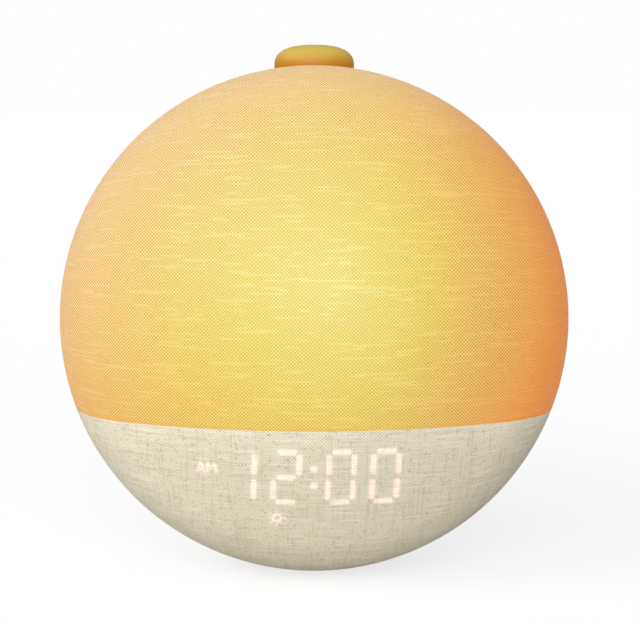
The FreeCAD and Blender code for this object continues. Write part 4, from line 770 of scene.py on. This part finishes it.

# %% [markdown]
# The button is tinted right through. Its mustard is painted a deeper orange-brown towards its foot, where it
# meets the cloth: painted glow from the lamp and painted shade. Its emission is a faint painted glow, more
# orange at the foot.

# %% Mould the button
BUTTON_FOOT = CENTRE.z + 99 * MM
BUTTON_TOP = CENTRE.z + 107 * MM
# The foot's colour is painted glow and shade. The emission colours are a painted glow, though the button is no
# lamp.
FOOT_PAINTED_GLOW_AND_SHADE, TOP_TINT = (0.31, 0.105, 0.002), (0.42, 0.30, 0.045)
FOOT_PAINTED_GLOW, TOP_PAINTED_GLOW = (0.15, 0.05, 0.0), (0.12, 0.10, 0.025)
mustard, tree, shader = new_finish("mustard_plastic", Specular_IOR_Level=0.2, Emission_Strength=1)
height = separate(tree, object_place(tree))[2]
mustard_with_painted_glow = mix(tree, fade(tree, height, BUTTON_FOOT, BUTTON_TOP), FOOT_PAINTED_GLOW_AND_SHADE, TOP_TINT)
painted_glow = mix(tree, fade(tree, height, BUTTON_FOOT, BUTTON_TOP), FOOT_PAINTED_GLOW, TOP_PAINTED_GLOW)
plug(tree, shader.inputs["Emission Color"], painted_glow)
surface = use_group(tree, grain, Grains_Per_Metre=5200, Colour=mustard_with_painted_glow, Variation=0.06, Roughness=0.38)
plug(tree, shader.inputs["Base Color"], surface["Colour"])
plug(tree, shader.inputs["Roughness"], surface["Roughness"])
emboss(tree, shader, surface["Height"], 0.02 * MM)
finishes["button_plastic"] = mustard
print("button is orange-brown at its foot and mustard on top")

# %% [markdown]
# Metal parts show how they were made. Screws and shafts are drawn and turned, which leaves fine lines,
# and cast iron is pitted. Circuit boards have copper tracks under green lacquer.

# %% Finish the metals and boards
steel, tree, shader = new_finish("zinc_plated_steel", Metallic=1.0)
place = object_place(tree)
stretch = tree.nodes.new("ShaderNodeMapping")
stretch.inputs["Scale"].default_value = (1, 0.06, 1)
tree.links.new(place, stretch.inputs["Vector"])
lines = noise(tree, stretch.outputs["Vector"], 6000, 2, 0.7)
plug(tree, shader.inputs["Base Color"], mix(tree, lines, (0.46, 0.46, 0.47), (0.64, 0.64, 0.63)))
plug(tree, shader.inputs["Roughness"], fade(tree, lines, 0.3, 0.7, 0.22, 0.38))
emboss(tree, shader, lines, 0.01 * MM)
finishes["steel"] = steel

iron, tree, shader = new_finish("cast_iron", Metallic=0.8)
pits = noise(tree, object_place(tree), 900, 4, 0.65)
plug(tree, shader.inputs["Base Color"], mix(tree, pits, (0.05, 0.05, 0.055), (0.13, 0.13, 0.135)))
plug(tree, shader.inputs["Roughness"], fade(tree, pits, 0.3, 0.7, 0.5, 0.7))
emboss(tree, shader, pits, 0.15 * MM)
finishes["ballast_iron"] = iron


def lacquered(name, bare, track, tracks_per_metre):
    """A circuit board whose tracks show through its lacquer."""
    material, tree, shader = new_finish(name, Roughness=0.3, Coat_Weight=0.4, Coat_Roughness=0.15)
    cells = tree.nodes.new("ShaderNodeTexVoronoi")
    cells.feature = "DISTANCE_TO_EDGE"
    plug(tree, cells.inputs["Vector"], object_place(tree))
    cells.inputs["Scale"].default_value = tracks_per_metre
    tracks = fade(tree, cells.outputs["Distance"], 0.10, 0.06)
    plug(tree, shader.inputs["Base Color"], mix(tree, tracks, bare, track))
    emboss(tree, shader, tracks, 0.02 * MM)
    return material


finishes["circuit_board"] = lacquered("green_board", (0.012, 0.085, 0.04), (0.03, 0.17, 0.08), 260)
finishes["light_board_metal"] = lacquered("white_board", (0.80, 0.80, 0.80), (0.68, 0.68, 0.67), 90)
print("steel, iron and two kinds of board are finished")

# %% Finish the foam and the pressed paper
foam, tree, shader = new_finish("foam", Roughness=0.95)
cells = tree.nodes.new("ShaderNodeTexVoronoi")
plug(tree, cells.inputs["Vector"], object_place(tree))
cells.inputs["Scale"].default_value = 2200
foam_colour = mix(tree, cells.outputs["Distance"], (0.008, 0.008, 0.008), (0.03, 0.03, 0.03))
plug(tree, shader.inputs["Base Color"], foam_colour)
emboss(tree, shader, cells.outputs["Distance"], 0.2 * MM)
finishes["foam"] = foam

pulp, tree, shader = new_finish("pressed_paper", Roughness=0.9)
fibres = noise(tree, object_place(tree), 2400, 5, 0.75)
plug(tree, shader.inputs["Base Color"], mix(tree, fibres, (0.012, 0.012, 0.012), (0.045, 0.043, 0.04)))
emboss(tree, shader, fibres, 0.08 * MM)
finishes["paper_cone"] = pulp
finishes["woven_cover"] = linen
print(len(finishes), "finishes in all")

# %% Put the finishes on the construction model
for part in frame["record"]["subparts"]:
    piece = frame["nodes"][part["node"]]
    piece.data.materials.clear()
    piece.data.materials.append(finishes[part["material_slot"]])
print("every piece has its finish")
